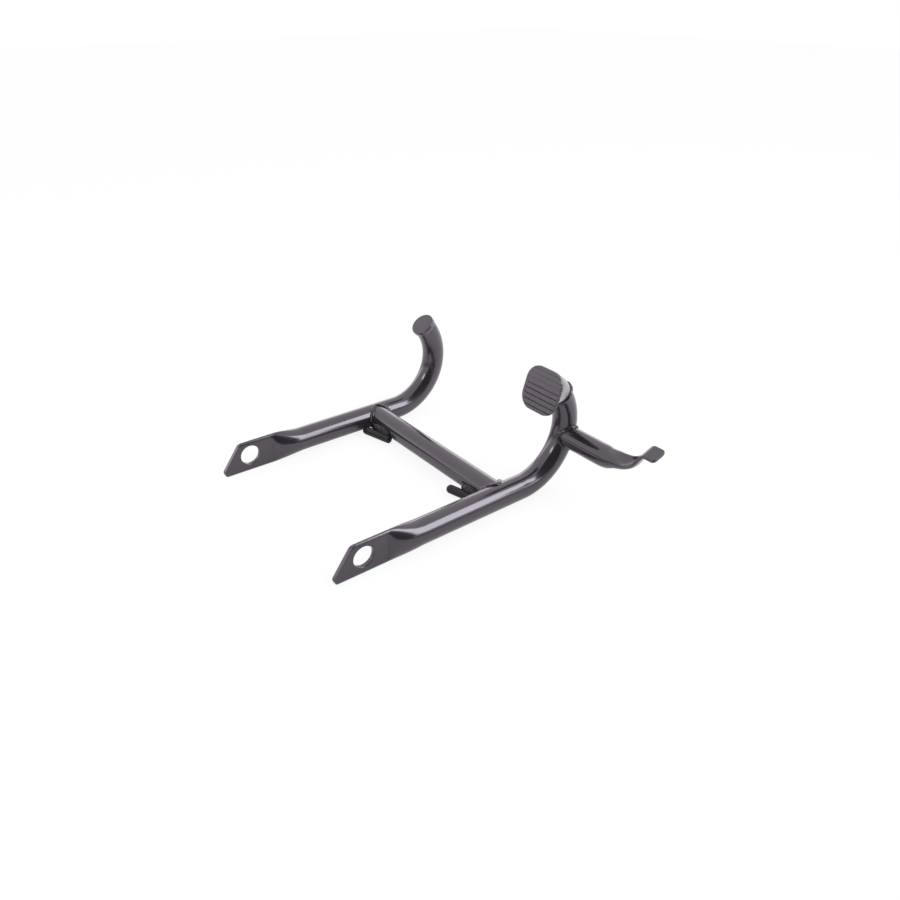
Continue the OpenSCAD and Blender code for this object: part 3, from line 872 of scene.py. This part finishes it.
@dataclass
class PedalArm:
    """Tube that stands out from the near bend, pressed into a rising tongue with a level tip."""

    frame: StandFrame
    radius: float = 10.0
    wall: float = 1.5
    angle: float = 77.5
    round_to: float = 46.0
    press: float = 34.0
    floor_lead: float = 8.0
    floor_rise: float = 7.0
    floor_bend: float = 20.0
    tongue_width: float = 16.0
    tongue_roll: float = 19.0
    riser_run: float = 11.0
    tongue_rise: float = 23.5
    foot_bend: float = 24.0
    tongue_bend: float = 4.5
    tip_length: float = 11.47
    tip_round: float = 3.0
    dish: float = 2.8
    dish_from: float = 62.0
    dish_run: float = 12.0
    dish_end: float = 78.0
    dish_fade: float = 12.0
    cavity_share: float = 0.4
    around: int = 80

    def build(self, paint: bpy.types.Material) -> bpy.types.Object:
        """Builds the arm and stands it for its node."""
        rings = self._cavity_rings() + self._tube_rings() + self._tongue_rings()
        around = self.around
        faces: list[tuple[int, ...]] = list(Piece.loft(rings))
        faces.append(tuple(range(around)))
        last = (len(rings) - 1) * around
        faces += [(last + j, last + j + 1, last + around - j - 2, last + around - j - 1)
                  for j in range(around // 2 - 1)]
        centre, _ = self.frame.bend_spine(self.angle)
        placed = np.concatenate(rings) + np.array([centre[0], self.frame.leg_y(Side.NEAR), centre[2]])
        made = Piece.mesh("pedal_arm_tube", self.frame.to_part(placed), faces)
        return Piece.dress("pedal_arm_tube", made, paint, "pedal_arm")

    def _turns(self) -> np.ndarray:
        """Angle of each point round a ring, offset by half a step so that none lies on an axis."""
        return (np.arange(self.around) + 0.5) * (2 * math.pi / self.around)

    def _saddle(self, radius: float) -> np.ndarray:
        """Ring where a round bar of this radius meets the bent tube."""
        turns = self._turns()
        centre, _ = self.frame.bend_spine(self.angle)
        x, z = radius * np.cos(turns), radius * np.sin(turns)
        away = np.hypot(centre[0] + x - self.frame.leg_run, centre[2] + z - self.frame.bend_radius)
        off = away - self.frame.bend_radius
        y = -np.sqrt((self.frame.leg_radius + self.frame.root_gap) ** 2 - off ** 2)
        return np.stack([x, y, z], axis=1)

    def _circle(self, radius: float, y: float) -> np.ndarray:
        """Ring of the round part at distance y from the leg's centre."""
        turns = self._turns()
        return np.stack([radius * np.cos(turns), np.full_like(turns, -y), radius * np.sin(turns)], axis=1)

    def _cavity_rings(self) -> list[np.ndarray]:
        """Rings of the bore, from where the pressed walls meet back to the saddle."""
        bore = self.radius - self.wall
        tip = self.round_to + self.press * self.cavity_share
        return [self._circle(self.wall, tip), self._circle(bore, self.round_to),
                self._circle(bore, 20.0), self._saddle(bore)]

    def _tube_rings(self) -> list[np.ndarray]:
        """Rings of the round outside, from the saddle to where the press starts."""
        saddle = self._saddle(self.radius)
        straight = self._circle(self.radius, self.round_to - 0.5)
        return [mix(saddle, straight, share) for share in np.linspace(0.0, 1.0, 9)]

    def _path(self) -> np.ndarray:
        """Side path of the pressed end: distance from the leg's centre and height."""
        start = np.array([self.round_to, 0.0])
        dip = np.array([self.round_to + self.floor_lead, 0.0])
        foot = np.array([self.round_to + self.press, self.floor_rise])
        brow = np.array([foot[0] + self.riser_run, self.tongue_rise])
        end = brow + np.array([self.tip_length, 0.0])
        low = self._corner(start, dip, foot, self.floor_bend)
        knee = self._corner(dip, foot, brow, self.foot_bend)
        top = self._corner(foot, brow, end, self.tongue_bend)
        rough = np.concatenate([[start], low, knee, top, [end]])
        lengths = np.concatenate([[0.0], np.cumsum(np.linalg.norm(np.diff(rough, axis=0), axis=1))])
        total = lengths[-1]
        near_tip = total - self.tip_round * (1 - np.sin(np.radians(np.linspace(0, 88, 12))))
        along = np.concatenate([np.linspace(0.0, total - self.tip_round, 110)[:-1], near_tip])
        return np.stack([np.interp(along, lengths, rough[:, 0]), np.interp(along, lengths, rough[:, 1])], axis=1)

    @staticmethod
    def _corner(before: np.ndarray, at: np.ndarray, after: np.ndarray, radius: float) -> np.ndarray:
        """Points of the round that blends a corner of the side path."""
        first, second = unit(before - at), unit(after - at)
        half = math.acos(float(first @ second)) / 2
        middle = at + unit(first + second) * radius / math.sin(half)
        start = at + first * radius / math.tan(half) - middle
        end = at + second * radius / math.tan(half) - middle
        angle = math.atan2(start[1], start[0])
        swing = math.remainder(math.atan2(end[1], end[0]) - angle, 2 * math.pi)
        turns = angle + swing * np.linspace(0.0, 1.0, 17)
        return middle + radius * np.stack([np.cos(turns), np.sin(turns)], axis=1)

    def _tongue_rings(self) -> list[np.ndarray]:
        """Rings of the pressed end, each square to the path and turned with the tongue."""
        path = self._path()
        length = self.round_to + self.press + self.riser_run + self.tip_length
        tangents = unit(np.gradient(path, axis=0))
        rings = []
        for (reach, rise), (run, climb) in zip(path, tangents):
            press = float(ease((reach - self.round_to) / self.press))
            left = max(length - reach, 0.0)
            pinch = 0.0
            if left < self.tip_round:
                pinch = self.tip_round - math.sqrt(max(self.tip_round ** 2 - (self.tip_round - left) ** 2, 0.0))
            roll = math.radians(self.tongue_roll * press)
            across = np.array([math.cos(roll), 0.0, math.sin(roll)])
            ahead = np.array([0.0, -run, climb])
            up = unit(np.cross(ahead, across))
            wide = mix(self.radius, self.tongue_width / 2, press) - pinch
            tall = mix(self.radius, self.wall, press)
            corner = min(mix(self.radius, self.wall * 0.9, press), wide, tall)
            hollow = float(ease((reach - self.dish_from) / self.dish_run))
            hollow *= self.dish * (1.0 - float(ease((reach - self.dish_end) / self.dish_fade)))
            section = self._section(wide, tall, corner, hollow)
            rings.append(np.array([0.0, -reach, rise]) + section[:, :1] * across + section[:, 1:] * up)
        return rings

    def _section(self, wide: float, tall: float, corner: float, hollow: float) -> np.ndarray:
        """Section of the pressed tube.

        Args:
            wide: Half width.
            tall: Half height.
            corner: Radius of its corners.
            hollow: How far its middle sinks.

        Returns:
            Across and up values, evenly spaced round the section.
        """
        side, top, arc = tall - corner, wide - corner, corner * math.pi / 2
        count = self.around // 4
        run = (np.arange(count) + 0.5) / count * (side + top + arc)
        turn = np.clip((run - side) / corner, 0.0, math.pi / 2)
        across = top + corner * np.cos(turn) - np.maximum(run - side - arc, 0.0)
        up = np.minimum(run, side) + corner * np.sin(turn)
        across = np.concatenate([across, -across[::-1], -across, across[::-1]])
        up = np.concatenate([up, up[::-1], -up, -up[::-1]])
        return np.stack([across, up - hollow * (1.0 - (across / wide) ** 2)], axis=1)


@dataclass
class SpringHook:
    """Pin for the return spring, with a round tip, beside the cross tube."""

    frame: StandFrame
    side: Side
    radius: float = 4.0
    length: float = 30.5
    root: float = 11.4
    spacing: float = 134.0
    lead: float = 12.0
    drop: float = 6.5
    splay: float = 14.5
    sunk: float = 0.4
    root_round: float = 1.6
    around: int = 48

    def build(self, paint: bpy.types.Material) -> bpy.types.Object:
        """Builds the pin and stands it for its node."""
        node = f"spring_hook_{self.side.name.lower()}"
        edge = self.root_round
        profile = [(0.0, 0.0)]
        profile += [(self.radius - edge * (1 - math.sin(turn)), edge * (1 - math.cos(turn)))
                    for turn in np.linspace(0.0, math.pi / 2, 7)]
        profile += [(self.radius, self.length * share) for share in np.linspace(0.1, 1.0, 16)]
        profile += [(self.radius * math.cos(turn), self.length + self.radius * math.sin(turn))
                    for turn in np.linspace(0.0, math.pi / 2, 15)[1:]]
        points, faces = Piece.lathe(profile, self.around)
        placed = self._clear_of_tube(self.to_leg_frame(points))
        made = Piece.mesh(f"{node}_pin", self.frame.to_part(placed), faces)
        return Piece.dress(f"{node}_pin", made, paint, node)

    def to_leg_frame(self, points: np.ndarray) -> np.ndarray:
        """Puts what is drawn along +Z on the pin, from its root to its tip."""
        turn = math.radians(self.splay)
        x, y = points[:, 0], points[:, 2]
        turned = np.stack([x * math.cos(turn) - y * math.sin(turn),
                           x * math.sin(turn) + y * math.cos(turn), -points[:, 1]], axis=1)
        shift = self.spacing if self.side is Side.FAR else 0.0
        start = self.frame.leg_y(Side.NEAR) + self.root + shift
        return turned + np.array([self.frame.cross_at - self.lead, start, -self.drop])

    def _clear_of_tube(self, points: np.ndarray) -> np.ndarray:
        """Keeps the pin out of the bore of the cross tube: what would pass its wall ends inside the wall."""
        x, z = points[:, 0] - self.frame.cross_at, points[:, 2]
        away = np.hypot(x, z)
        held = np.maximum(away, self.frame.cross_radius - self.sunk) / np.maximum(away, TINY)
        return np.stack([self.frame.cross_at + x * held, points[:, 1], z * held], axis=1)


@dataclass
class WeldBead:
    """A bead of weld along a path, with the scalloped ripples of the torch."""

    frame: StandFrame
    node: str
    path: np.ndarray
    radii: np.ndarray
    travel: np.ndarray
    loop: bool = True
    ripple_share: float = 0.11
    crescent: float = 0.3
    lump_share: float = 0.2
    lump_size: float = 4.5
    sides: int = 20
    seed: int = 7

    def build(self, paint: bpy.types.Material) -> bpy.types.Object:
        """Builds the bead and stands it for its node."""
        made = self._tree().run(self._rail(), paint)
        Piece.clean(made)
        return Piece.dress(f"{self.node}_bead", made, paint, self.node, sharp=None)

    def _rail(self) -> bpy.types.Mesh:
        """The path as a row of edges that holds the bead's radius and the travel of the torch."""
        rail = bpy.data.meshes.new(f"{self.node}_rail")
        count = len(self.path)
        edges = [(k, (k + 1) % count) for k in range(count if self.loop else count - 1)]
        rail.from_pydata(self.frame.to_part(self.path).tolist(), edges, [])
        for label, values in (("bead_radius", self.radii * MILLIMETRE), ("torch_travel", self.travel)):
            layer = rail.attributes.new(label, "FLOAT", "POINT")
            layer.data.foreach_set("value", np.asarray(values, np.float32))
        return rail

    def _tree(self) -> GeometryTree:
        """Tree that sweeps a round profile along the rail and raises ripples and lumps on it."""
        bead = GeometryTree(f"{self.node}_bead", {
            "Profile Sides": self.sides, "Ripple Share": self.ripple_share,
            "Crescent": self.crescent, "Lump Share": self.lump_share,
            "Lump Size": self.lump_size * MILLIMETRE, "Seed": self.seed})
        sheet, given = bead.sheet, bead.given
        curve = sheet.add("GeometryNodeMeshToCurve", {"Mesh": given["Geometry"]}).outputs[0]
        sized = sheet.add("GeometryNodeSetCurveRadius", {"Curve": curve, "Radius": bead.attribute("bead_radius")})
        circle = sheet.add("GeometryNodeCurvePrimitiveCircle", {"Resolution": given["Profile Sides"], "Radius": 1.0})
        around = sheet.add("GeometryNodeSplineParameter").outputs["Factor"]
        profile = sheet.add("GeometryNodeStoreNamedAttribute", {
            "Geometry": circle.outputs[0], "Name": "bead_side", "Value": around}, data_type="FLOAT")
        swept = sheet.add("GeometryNodeCurveToMesh", {
            "Curve": sized.outputs[0], "Profile Curve": profile.outputs[0], "Fill Caps": not self.loop})
        if "Scale" in swept.inputs:
            sheet.feed(swept.inputs["Scale"], bead.attribute("bead_radius"))
        side = sheet.maths("COSINE", sheet.maths("MULTIPLY", bead.attribute("bead_side"), 2 * math.pi))
        phase = sheet.maths("ADD", bead.attribute("torch_travel"), sheet.maths("MULTIPLY", side, given["Crescent"]))
        wave = sheet.maths("ABSOLUTE", sheet.maths("SINE", sheet.maths("MULTIPLY", phase, math.pi)))
        ripple = sheet.maths("MULTIPLY", sheet.maths("SUBTRACT", wave, 0.6), given["Ripple Share"])
        scale = sheet.maths("DIVIDE", 1.0, given["Lump Size"])
        noise = sheet.add("ShaderNodeTexNoise", {"W": given["Seed"], "Scale": scale, "Detail": 2.0},
                          noise_dimensions="4D")
        centred = sheet.maths("SUBTRACT", noise.outputs[0], 0.5)
        lump = sheet.maths("MULTIPLY", centred, sheet.maths("MULTIPLY", given["Lump Share"], 2.0))
        raised = sheet.maths("MULTIPLY", sheet.maths("ADD", ripple, lump), bead.attribute("bead_radius"))
        normal = sheet.add("GeometryNodeInputNormal").outputs[0]
        offset = sheet.add("ShaderNodeVectorMath", {0: normal, "Scale": raised}, operation="SCALE")
        moved = sheet.add("GeometryNodeSetPosition", {"Geometry": swept.outputs[0], "Offset": offset.outputs[0]})
        bead.close(moved.outputs[0])
        return bead


@dataclass
class WeldSet:
    """All the welds of the stand."""

    frame: StandFrame
    bead_radius: float = 2.8
    bead_top: float = 0.6
    bead_under: float = 0.24
    step_radius: float = 2.0
    arm_radius: float = 2.1
    tack_radius: float = 4.0
    tack_start: float = 2.0
    tack_length: dict[Side, float] = field(default_factory=lambda: {Side.NEAR: 20.0, Side.FAR: 29.0})
    tack_lift: float = 0.8
    tack_share: float = 0.3
    tack_end_share: float = 0.3
    ripples: int = 14
    per_ripple: int = 10

    def build(self, paint: bpy.types.Material, tack_shade_paint: bpy.types.Material) -> None:
        """Builds each weld in turn."""
        for side in Side:
            self._cross(side).build(paint)
            # The tacks take the darker copy of the paint, painted shade under the cross tube.
            self._tack(side).build(tack_shade_paint)
        self._arm().build(paint)
        self._plate().build(paint)

    def _turns(self) -> tuple[np.ndarray, np.ndarray]:
        """Angle of each point of a loop, and the travel of the torch in ripples."""
        count = self.ripples * self.per_ripple
        share = np.arange(count) / count
        return 2 * math.pi * share, share * self.ripples

    def _cross(self, side: Side) -> WeldBead:
        """Bead round the saddle where the cross tube meets a leg."""
        turns, travel = self._turns()
        frame = self.frame
        x, z = frame.cross_radius * np.sin(turns), frame.cross_radius * np.cos(turns)
        inward = -side.value
        y = frame.leg_y(side) + inward * np.sqrt(frame.leg_radius ** 2 - z ** 2)
        share = mix(np.where(z > 0, self.bead_top, self.bead_under), 1.0, np.abs(np.sin(turns)))
        path = np.stack([frame.cross_at + x, y, z], axis=1)
        return WeldBead(frame, f"weld_cross_{side.name.lower()}", path, self.bead_radius * share, travel,
                        seed=11 + side.value)

    def _arm(self) -> WeldBead:
        """Bead where the arm meets the bend."""
        arm = PedalArm(self.frame)
        turns, travel = self._turns()
        centre, _ = self.frame.bend_spine(arm.angle)
        x, z = arm.radius * np.cos(turns), arm.radius * np.sin(turns)
        away = np.hypot(centre[0] + x - self.frame.leg_run, centre[2] + z - self.frame.bend_radius)
        y = -np.sqrt(self.frame.leg_radius ** 2 - (away - self.frame.bend_radius) ** 2)
        path = np.stack([centre[0] + x, self.frame.leg_y(Side.NEAR) + y, centre[2] + z], axis=1)
        radii = np.full_like(turns, self.arm_radius)
        return WeldBead(self.frame, "weld_pedal_arm", path, radii, travel, lump_share=0.34, seed=23)

    def _plate(self) -> WeldBead:
        """Bead round the joint of the step plate's neck and the tube."""
        turns, travel = self._turns()
        centre, out, _ = self.frame.tube_end(Side.NEAR)
        across = np.array([0.0, 1.0, 0.0])
        circle = np.cos(turns)[:, None] * out + np.sin(turns)[:, None] * across
        path = centre + self.frame.leg_radius * circle
        radii = np.full_like(turns, self.step_radius)
        return WeldBead(self.frame, "weld_step_plate", path, radii, travel, lump_share=0.36, seed=31)

    def _tack(self, side: Side) -> WeldBead:
        """Tack that fills the crotch between a hook and the cross tube."""
        pin = SpringHook(self.frame, side)
        share = np.linspace(0.0, 1.0, 34)
        z = pin.radius - pin.drop + self.tack_lift
        y = self.tack_start + share * self.tack_length[side]
        pin_x = self.frame.cross_at - pin.lead - y * math.tan(math.radians(pin.splay))
        tube_x = self.frame.cross_at - math.sqrt(self.frame.cross_radius ** 2 - z ** 2)
        shift = pin.spacing if side is Side.FAR else 0.0
        start = self.frame.leg_y(Side.NEAR) + pin.root + shift
        path = np.stack([mix(tube_x, pin_x, self.tack_share), start + y, np.full_like(y, z)], axis=1)
        swell = mix(self.tack_end_share, 1.0, np.sqrt(np.maximum(np.sin(math.pi * share), 0.0)))
        return WeldBead(self.frame, f"weld_hook_{side.name.lower()}", path, self.tack_radius * swell, share * 4,
                        loop=False, seed=41 + side.value)


@dataclass
class Studio:
    """Plain white table in a light tent, its softboxes, its dark front and the camera."""

    floor_height: float
    floor_size: float = 12.0
    floor_colour: tuple[float, float, float] = (0.92, 0.92, 0.92)
    floor_share: dict[RayKind, float] = field(default_factory=lambda: {
        RayKind.CAMERA: 0.88, RayKind.TRANSMISSION: 0.88})
    sky_level: float = 0.97
    wall_radius: float = 2.6
    wall_height: float = 1.3
    front_low: float = 0.25
    front_low_height: float = 0.22
    back_level: float = 2.5
    back_fade: float = 0.2
    back_from: float = -0.6
    back_to: float = 1.8
    back_toward: tuple[float, float, float] = (0.6, 0.8, 0.0)
    # Painted shade of the floor in reflections: a flat glow at dim_level, from dim_from to dim_to away from
    # dim_centre.
    dim_centre: tuple[float, float, float] = (0.6, 0.6, 0.0)
    dim_from: float = 0.35
    dim_to: float = 1.45
    dim_level: float = 0.36
    camera_place: tuple[float, float, float] = (-0.23676, -0.49387, 0.37218)
    camera_turn: tuple[float, float, float] = (58.815, -0.124, -38.788)
    camera_lens: float = 30.854

    def build(self) -> None:
        """Builds the whole set."""
        self._world()
        self._floor()
        self._softbox("strip_softbox", (0.98, -1.12, 0.95), (1.0, 1.05), 4.6, (0.91, 0.97, 1.0))
        self._softbox("side_softbox", (-1.35, -0.1, 0.95), (0.5, 0.42), 4.8, (1.0, 0.98, 1.0))
        self._card("dark_front", (-0.41, -0.93, 0.53), 1.15, (0.13, 0.0, 0.03))
        self._wall()
        self._camera()

    def _world(self) -> None:
        """World that is white to camera, glossy and transmission rays, and plain light to the rest."""
        world = bpy.data.worlds.new("light_tent")
        bpy.context.scene.world = world
        world.use_nodes = True
        world.node_tree.nodes.clear()
        sheet = NodeSheet(world.node_tree)
        seen = self._rays(sheet, {kind: 1.0 for kind in RayKind})
        level = sheet.maths("ADD", sheet.maths("MULTIPLY", seen, 1.0 - self.sky_level), self.sky_level)
        sky = sheet.add("ShaderNodeBackground", {"Color": (1.0, 1.0, 1.0, 1.0), "Strength": level})
        sheet.add("ShaderNodeOutputWorld", {0: sky.outputs[0]})

    @staticmethod
    def _rays(sheet: NodeSheet, shares: dict[RayKind, float]) -> bpy.types.NodeSocket:
        """Highest share among the kinds of ray that the current ray is."""
        path = sheet.add("ShaderNodeLightPath").outputs
        total: Any = 0.0
        for kind, share in shares.items():
            total = sheet.maths("MAXIMUM", total, sheet.maths("MULTIPLY", path[kind.value], share))
        return total

    def _floor(self) -> None:
        """Pale floor that shows white and keeps the object's shadow."""
        half = self.floor_size / 2
        made = bpy.data.meshes.new("floor")
        corners = [(-half, -half), (half, -half), (half, half), (-half, half)]
        made.from_pydata([(x, y, self.floor_height) for x, y in corners], [], [(0, 1, 2, 3)])
        floor = bpy.data.objects.new("floor", made)
        bpy.context.scene.collection.objects.link(floor)
        surface = bpy.data.materials.new("white_table")
        surface.use_nodes = True
        surface.node_tree.nodes.clear()
        sheet = NodeSheet(surface.node_tree)
        matt = sheet.add("ShaderNodeBsdfDiffuse", {"Color": (*self.floor_colour, 1.0)})
        glow = sheet.add("ShaderNodeEmission", {"Color": (1.0, 1.0, 1.0, 1.0), "Strength": 1.0})
        blend = sheet.add("ShaderNodeMixShader", {
            0: self._rays(sheet, self.floor_share), 1: matt.outputs[0], 2: glow.outputs[0]})
        place = sheet.add("ShaderNodeTexCoord").outputs["Object"]
        away = sheet.add("ShaderNodeVectorMath", {0: place, 1: self.dim_centre}, operation="DISTANCE").outputs["Value"]
        # To glossy rays the floor fades, away from dim_centre, into a flat glow at dim_level. This is painted shade
        # seen only in its reflections.
        mirrored = self._rays(sheet, {RayKind.GLOSSY: 1.0})
        dimmed = sheet.maths("MULTIPLY", mirrored, sheet.span(away, self.dim_from, self.dim_to, 0.0, 1.0))
        dark = sheet.add("ShaderNodeEmission", {"Color": (1.0, 1.0, 1.0, 1.0), "Strength": self.dim_level})
        whole = sheet.add("ShaderNodeMixShader", {0: dimmed, 1: blend.outputs[0], 2: dark.outputs[0]})
        sheet.add("ShaderNodeOutputMaterial", {0: whole.outputs[0]})
        made.materials.append(surface)
        floor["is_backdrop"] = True

    def _softbox(self, name: str, place: tuple[float, float, float], size: tuple[float, float],
                 level: float, colour: tuple[float, float, float]) -> None:
        """Area lamp that faces the stand.

        Args:
            name: Name of the lamp.
            place: Where it stands, in metres.
            size: Its width and height, in metres.
            level: Its brightness, where 1 shows as white.
            colour: Its colour.
        """
        lamp = bpy.data.lights.new(name, "AREA")
        lamp.shape = "RECTANGLE"
        lamp.size, lamp.size_y = size
        lamp.energy = level * math.pi * size[0] * size[1]
        lamp.color = colour
        stand = bpy.data.objects.new(name, lamp)
        stand.location = place
        stand.rotation_euler = (-Vector(place)).to_track_quat("-Z", "Y").to_euler()
        stand.visible_camera = False
        bpy.context.scene.collection.objects.link(stand)

    def _card(self, name: str, toward: tuple[float, float, float], radius: float,
              centre: tuple[float, float, float]) -> None:
        """Round dark card with a soft edge that only reflections see, like the open front of a tent.

        Args:
            name: Name of the card.
            toward: Where its middle is, from the stand.
            radius: Its radius, in metres.
            centre: The point that it faces.
        """
        made = bpy.data.meshes.new(name)
        turns = np.linspace(0.0, 2 * math.pi, 64, endpoint=False)
        made.from_pydata([(radius * math.cos(t), radius * math.sin(t), 0.0) for t in turns], [], [tuple(range(64))])
        card = bpy.data.objects.new(name, made)
        spot = Vector(toward)
        card.location = Vector(centre) + spot
        card.rotation_euler = (-spot).to_track_quat("Z", "Y").to_euler()
        bpy.context.scene.collection.objects.link(card)
        surface = bpy.data.materials.new(name)
        surface.use_nodes = True
        surface.node_tree.nodes.clear()
        sheet = NodeSheet(surface.node_tree)
        place = sheet.add("ShaderNodeTexCoord").outputs["Object"]
        away = sheet.add("ShaderNodeVectorMath", {0: place}, operation="LENGTH").outputs["Value"]
        clear = sheet.span(away, 0.86 * radius, radius, 0.03, 1.0)
        dark = sheet.add("ShaderNodeBsdfDiffuse", {"Color": (0.01, 0.01, 0.01, 1.0)})
        through = sheet.add("ShaderNodeBsdfTransparent")
        blend = sheet.add("ShaderNodeMixShader", {0: clear, 1: dark.outputs[0], 2: through.outputs[0]})
        sheet.add("ShaderNodeOutputMaterial", {0: blend.outputs[0]})
        made.materials.append(surface)
        self._reflect_only(card)

    def _wall(self) -> None:
        """Wall of the tent that only reflections see: bright behind the stand, dark along its front foot."""
        count = 96
        turns = np.linspace(0.0, 2 * math.pi, count, endpoint=False)
        made = bpy.data.meshes.new("tent_wall")
        points = [(self.wall_radius * math.cos(turn), self.wall_radius * math.sin(turn), z)
                  for z in (0.0, self.wall_height) for turn in turns]
        made.from_pydata(points, [], [(k, (k + 1) % count, count + (k + 1) % count, count + k) for k in range(count)])
        wall = bpy.data.objects.new("tent_wall", made)
        wall.location = (0.0, 0.0, self.floor_height)
        bpy.context.scene.collection.objects.link(wall)
        surface = bpy.data.materials.new("tent_wall")
        surface.use_nodes = True
        surface.node_tree.nodes.clear()
        sheet = NodeSheet(surface.node_tree)
        place = sheet.add("ShaderNodeTexCoord").outputs["Object"]
        height = sheet.add("ShaderNodeSeparateXYZ", {0: place}).outputs[2]
        front = sheet.span(height, 0.85 * self.front_low_height, 1.15 * self.front_low_height, self.front_low, 1.0)
        back = sheet.span(height, self.back_fade, self.wall_height, self.back_level, 1.0)
        behind = sheet.add("ShaderNodeVectorMath", {0: place, 1: self.back_toward}, operation="DOT_PRODUCT")
        share = sheet.span(behind.outputs["Value"], self.back_from, self.back_to, 0.0, 1.0)
        step = sheet.maths("MULTIPLY", sheet.maths("SUBTRACT", back, front), share)
        glow = sheet.add("ShaderNodeEmission", {"Color": (1.0, 1.0, 1.0, 1.0), "Strength": sheet.maths(
            "ADD", front, step)})
        sheet.add("ShaderNodeOutputMaterial", {0: glow.outputs[0]})
        made.materials.append(surface)
        self._reflect_only(wall)

    @staticmethod
    def _reflect_only(card: bpy.types.Object) -> None:
        """Marks a card as part of the set and hides it from all but glossy rays."""
        for rays in ("camera", "diffuse", "shadow", "transmission", "volume_scatter"):
            setattr(card, f"visible_{rays}", False)
        card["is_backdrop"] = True

    def _camera(self) -> None:
        """Camera at the photograph's viewing angle."""
        lens = bpy.data.cameras.new("camera")
        lens.lens = self.camera_lens
        lens.sensor_width = 36.0
        lens.clip_start = 0.01
        eye = bpy.data.objects.new("camera", lens)
        eye.location = self.camera_place
        eye.rotation_euler = [math.radians(angle) for angle in self.camera_turn]
        bpy.context.scene.collection.objects.link(eye)
        bpy.context.scene.camera = eye


def corners(box: tuple[Vector, Vector]) -> list[list[float]]:
    """Lowest and highest corner as plain lists."""
    return [list(corner) for corner in box]


def main() -> None:
    """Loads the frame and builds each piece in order."""
    logging.basicConfig(level=logging.INFO, format="%(name)s %(message)s")
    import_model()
    bpy.context.scene.view_settings.view_transform = "Standard"
    frame = StandFrame()
    finishes = Finishes()
    tube, lug, pin = finishes.tube.material(), finishes.lug.material(), finishes.pin.material()
    for side in Side:
        LegTube(frame, side).build(tube)
        # The pins take the darker copy of the paint, painted shade under the cross tube.
        SpringHook(frame, side).build(pin)
    CrossTube(frame).build(tube)
    EndCap(frame).build(lug)
    StepPlate(frame).build(finishes.plate.material(), finishes.neck.material())
    PedalArm(frame).build(tube)
    WeldSet(frame).build(finishes.weld.material(), finishes.tack.material())
    visual_box = corners(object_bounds())
    Studio(floor_height=visual_box[0][2]).build()


if __name__ == "__main__":
    main()
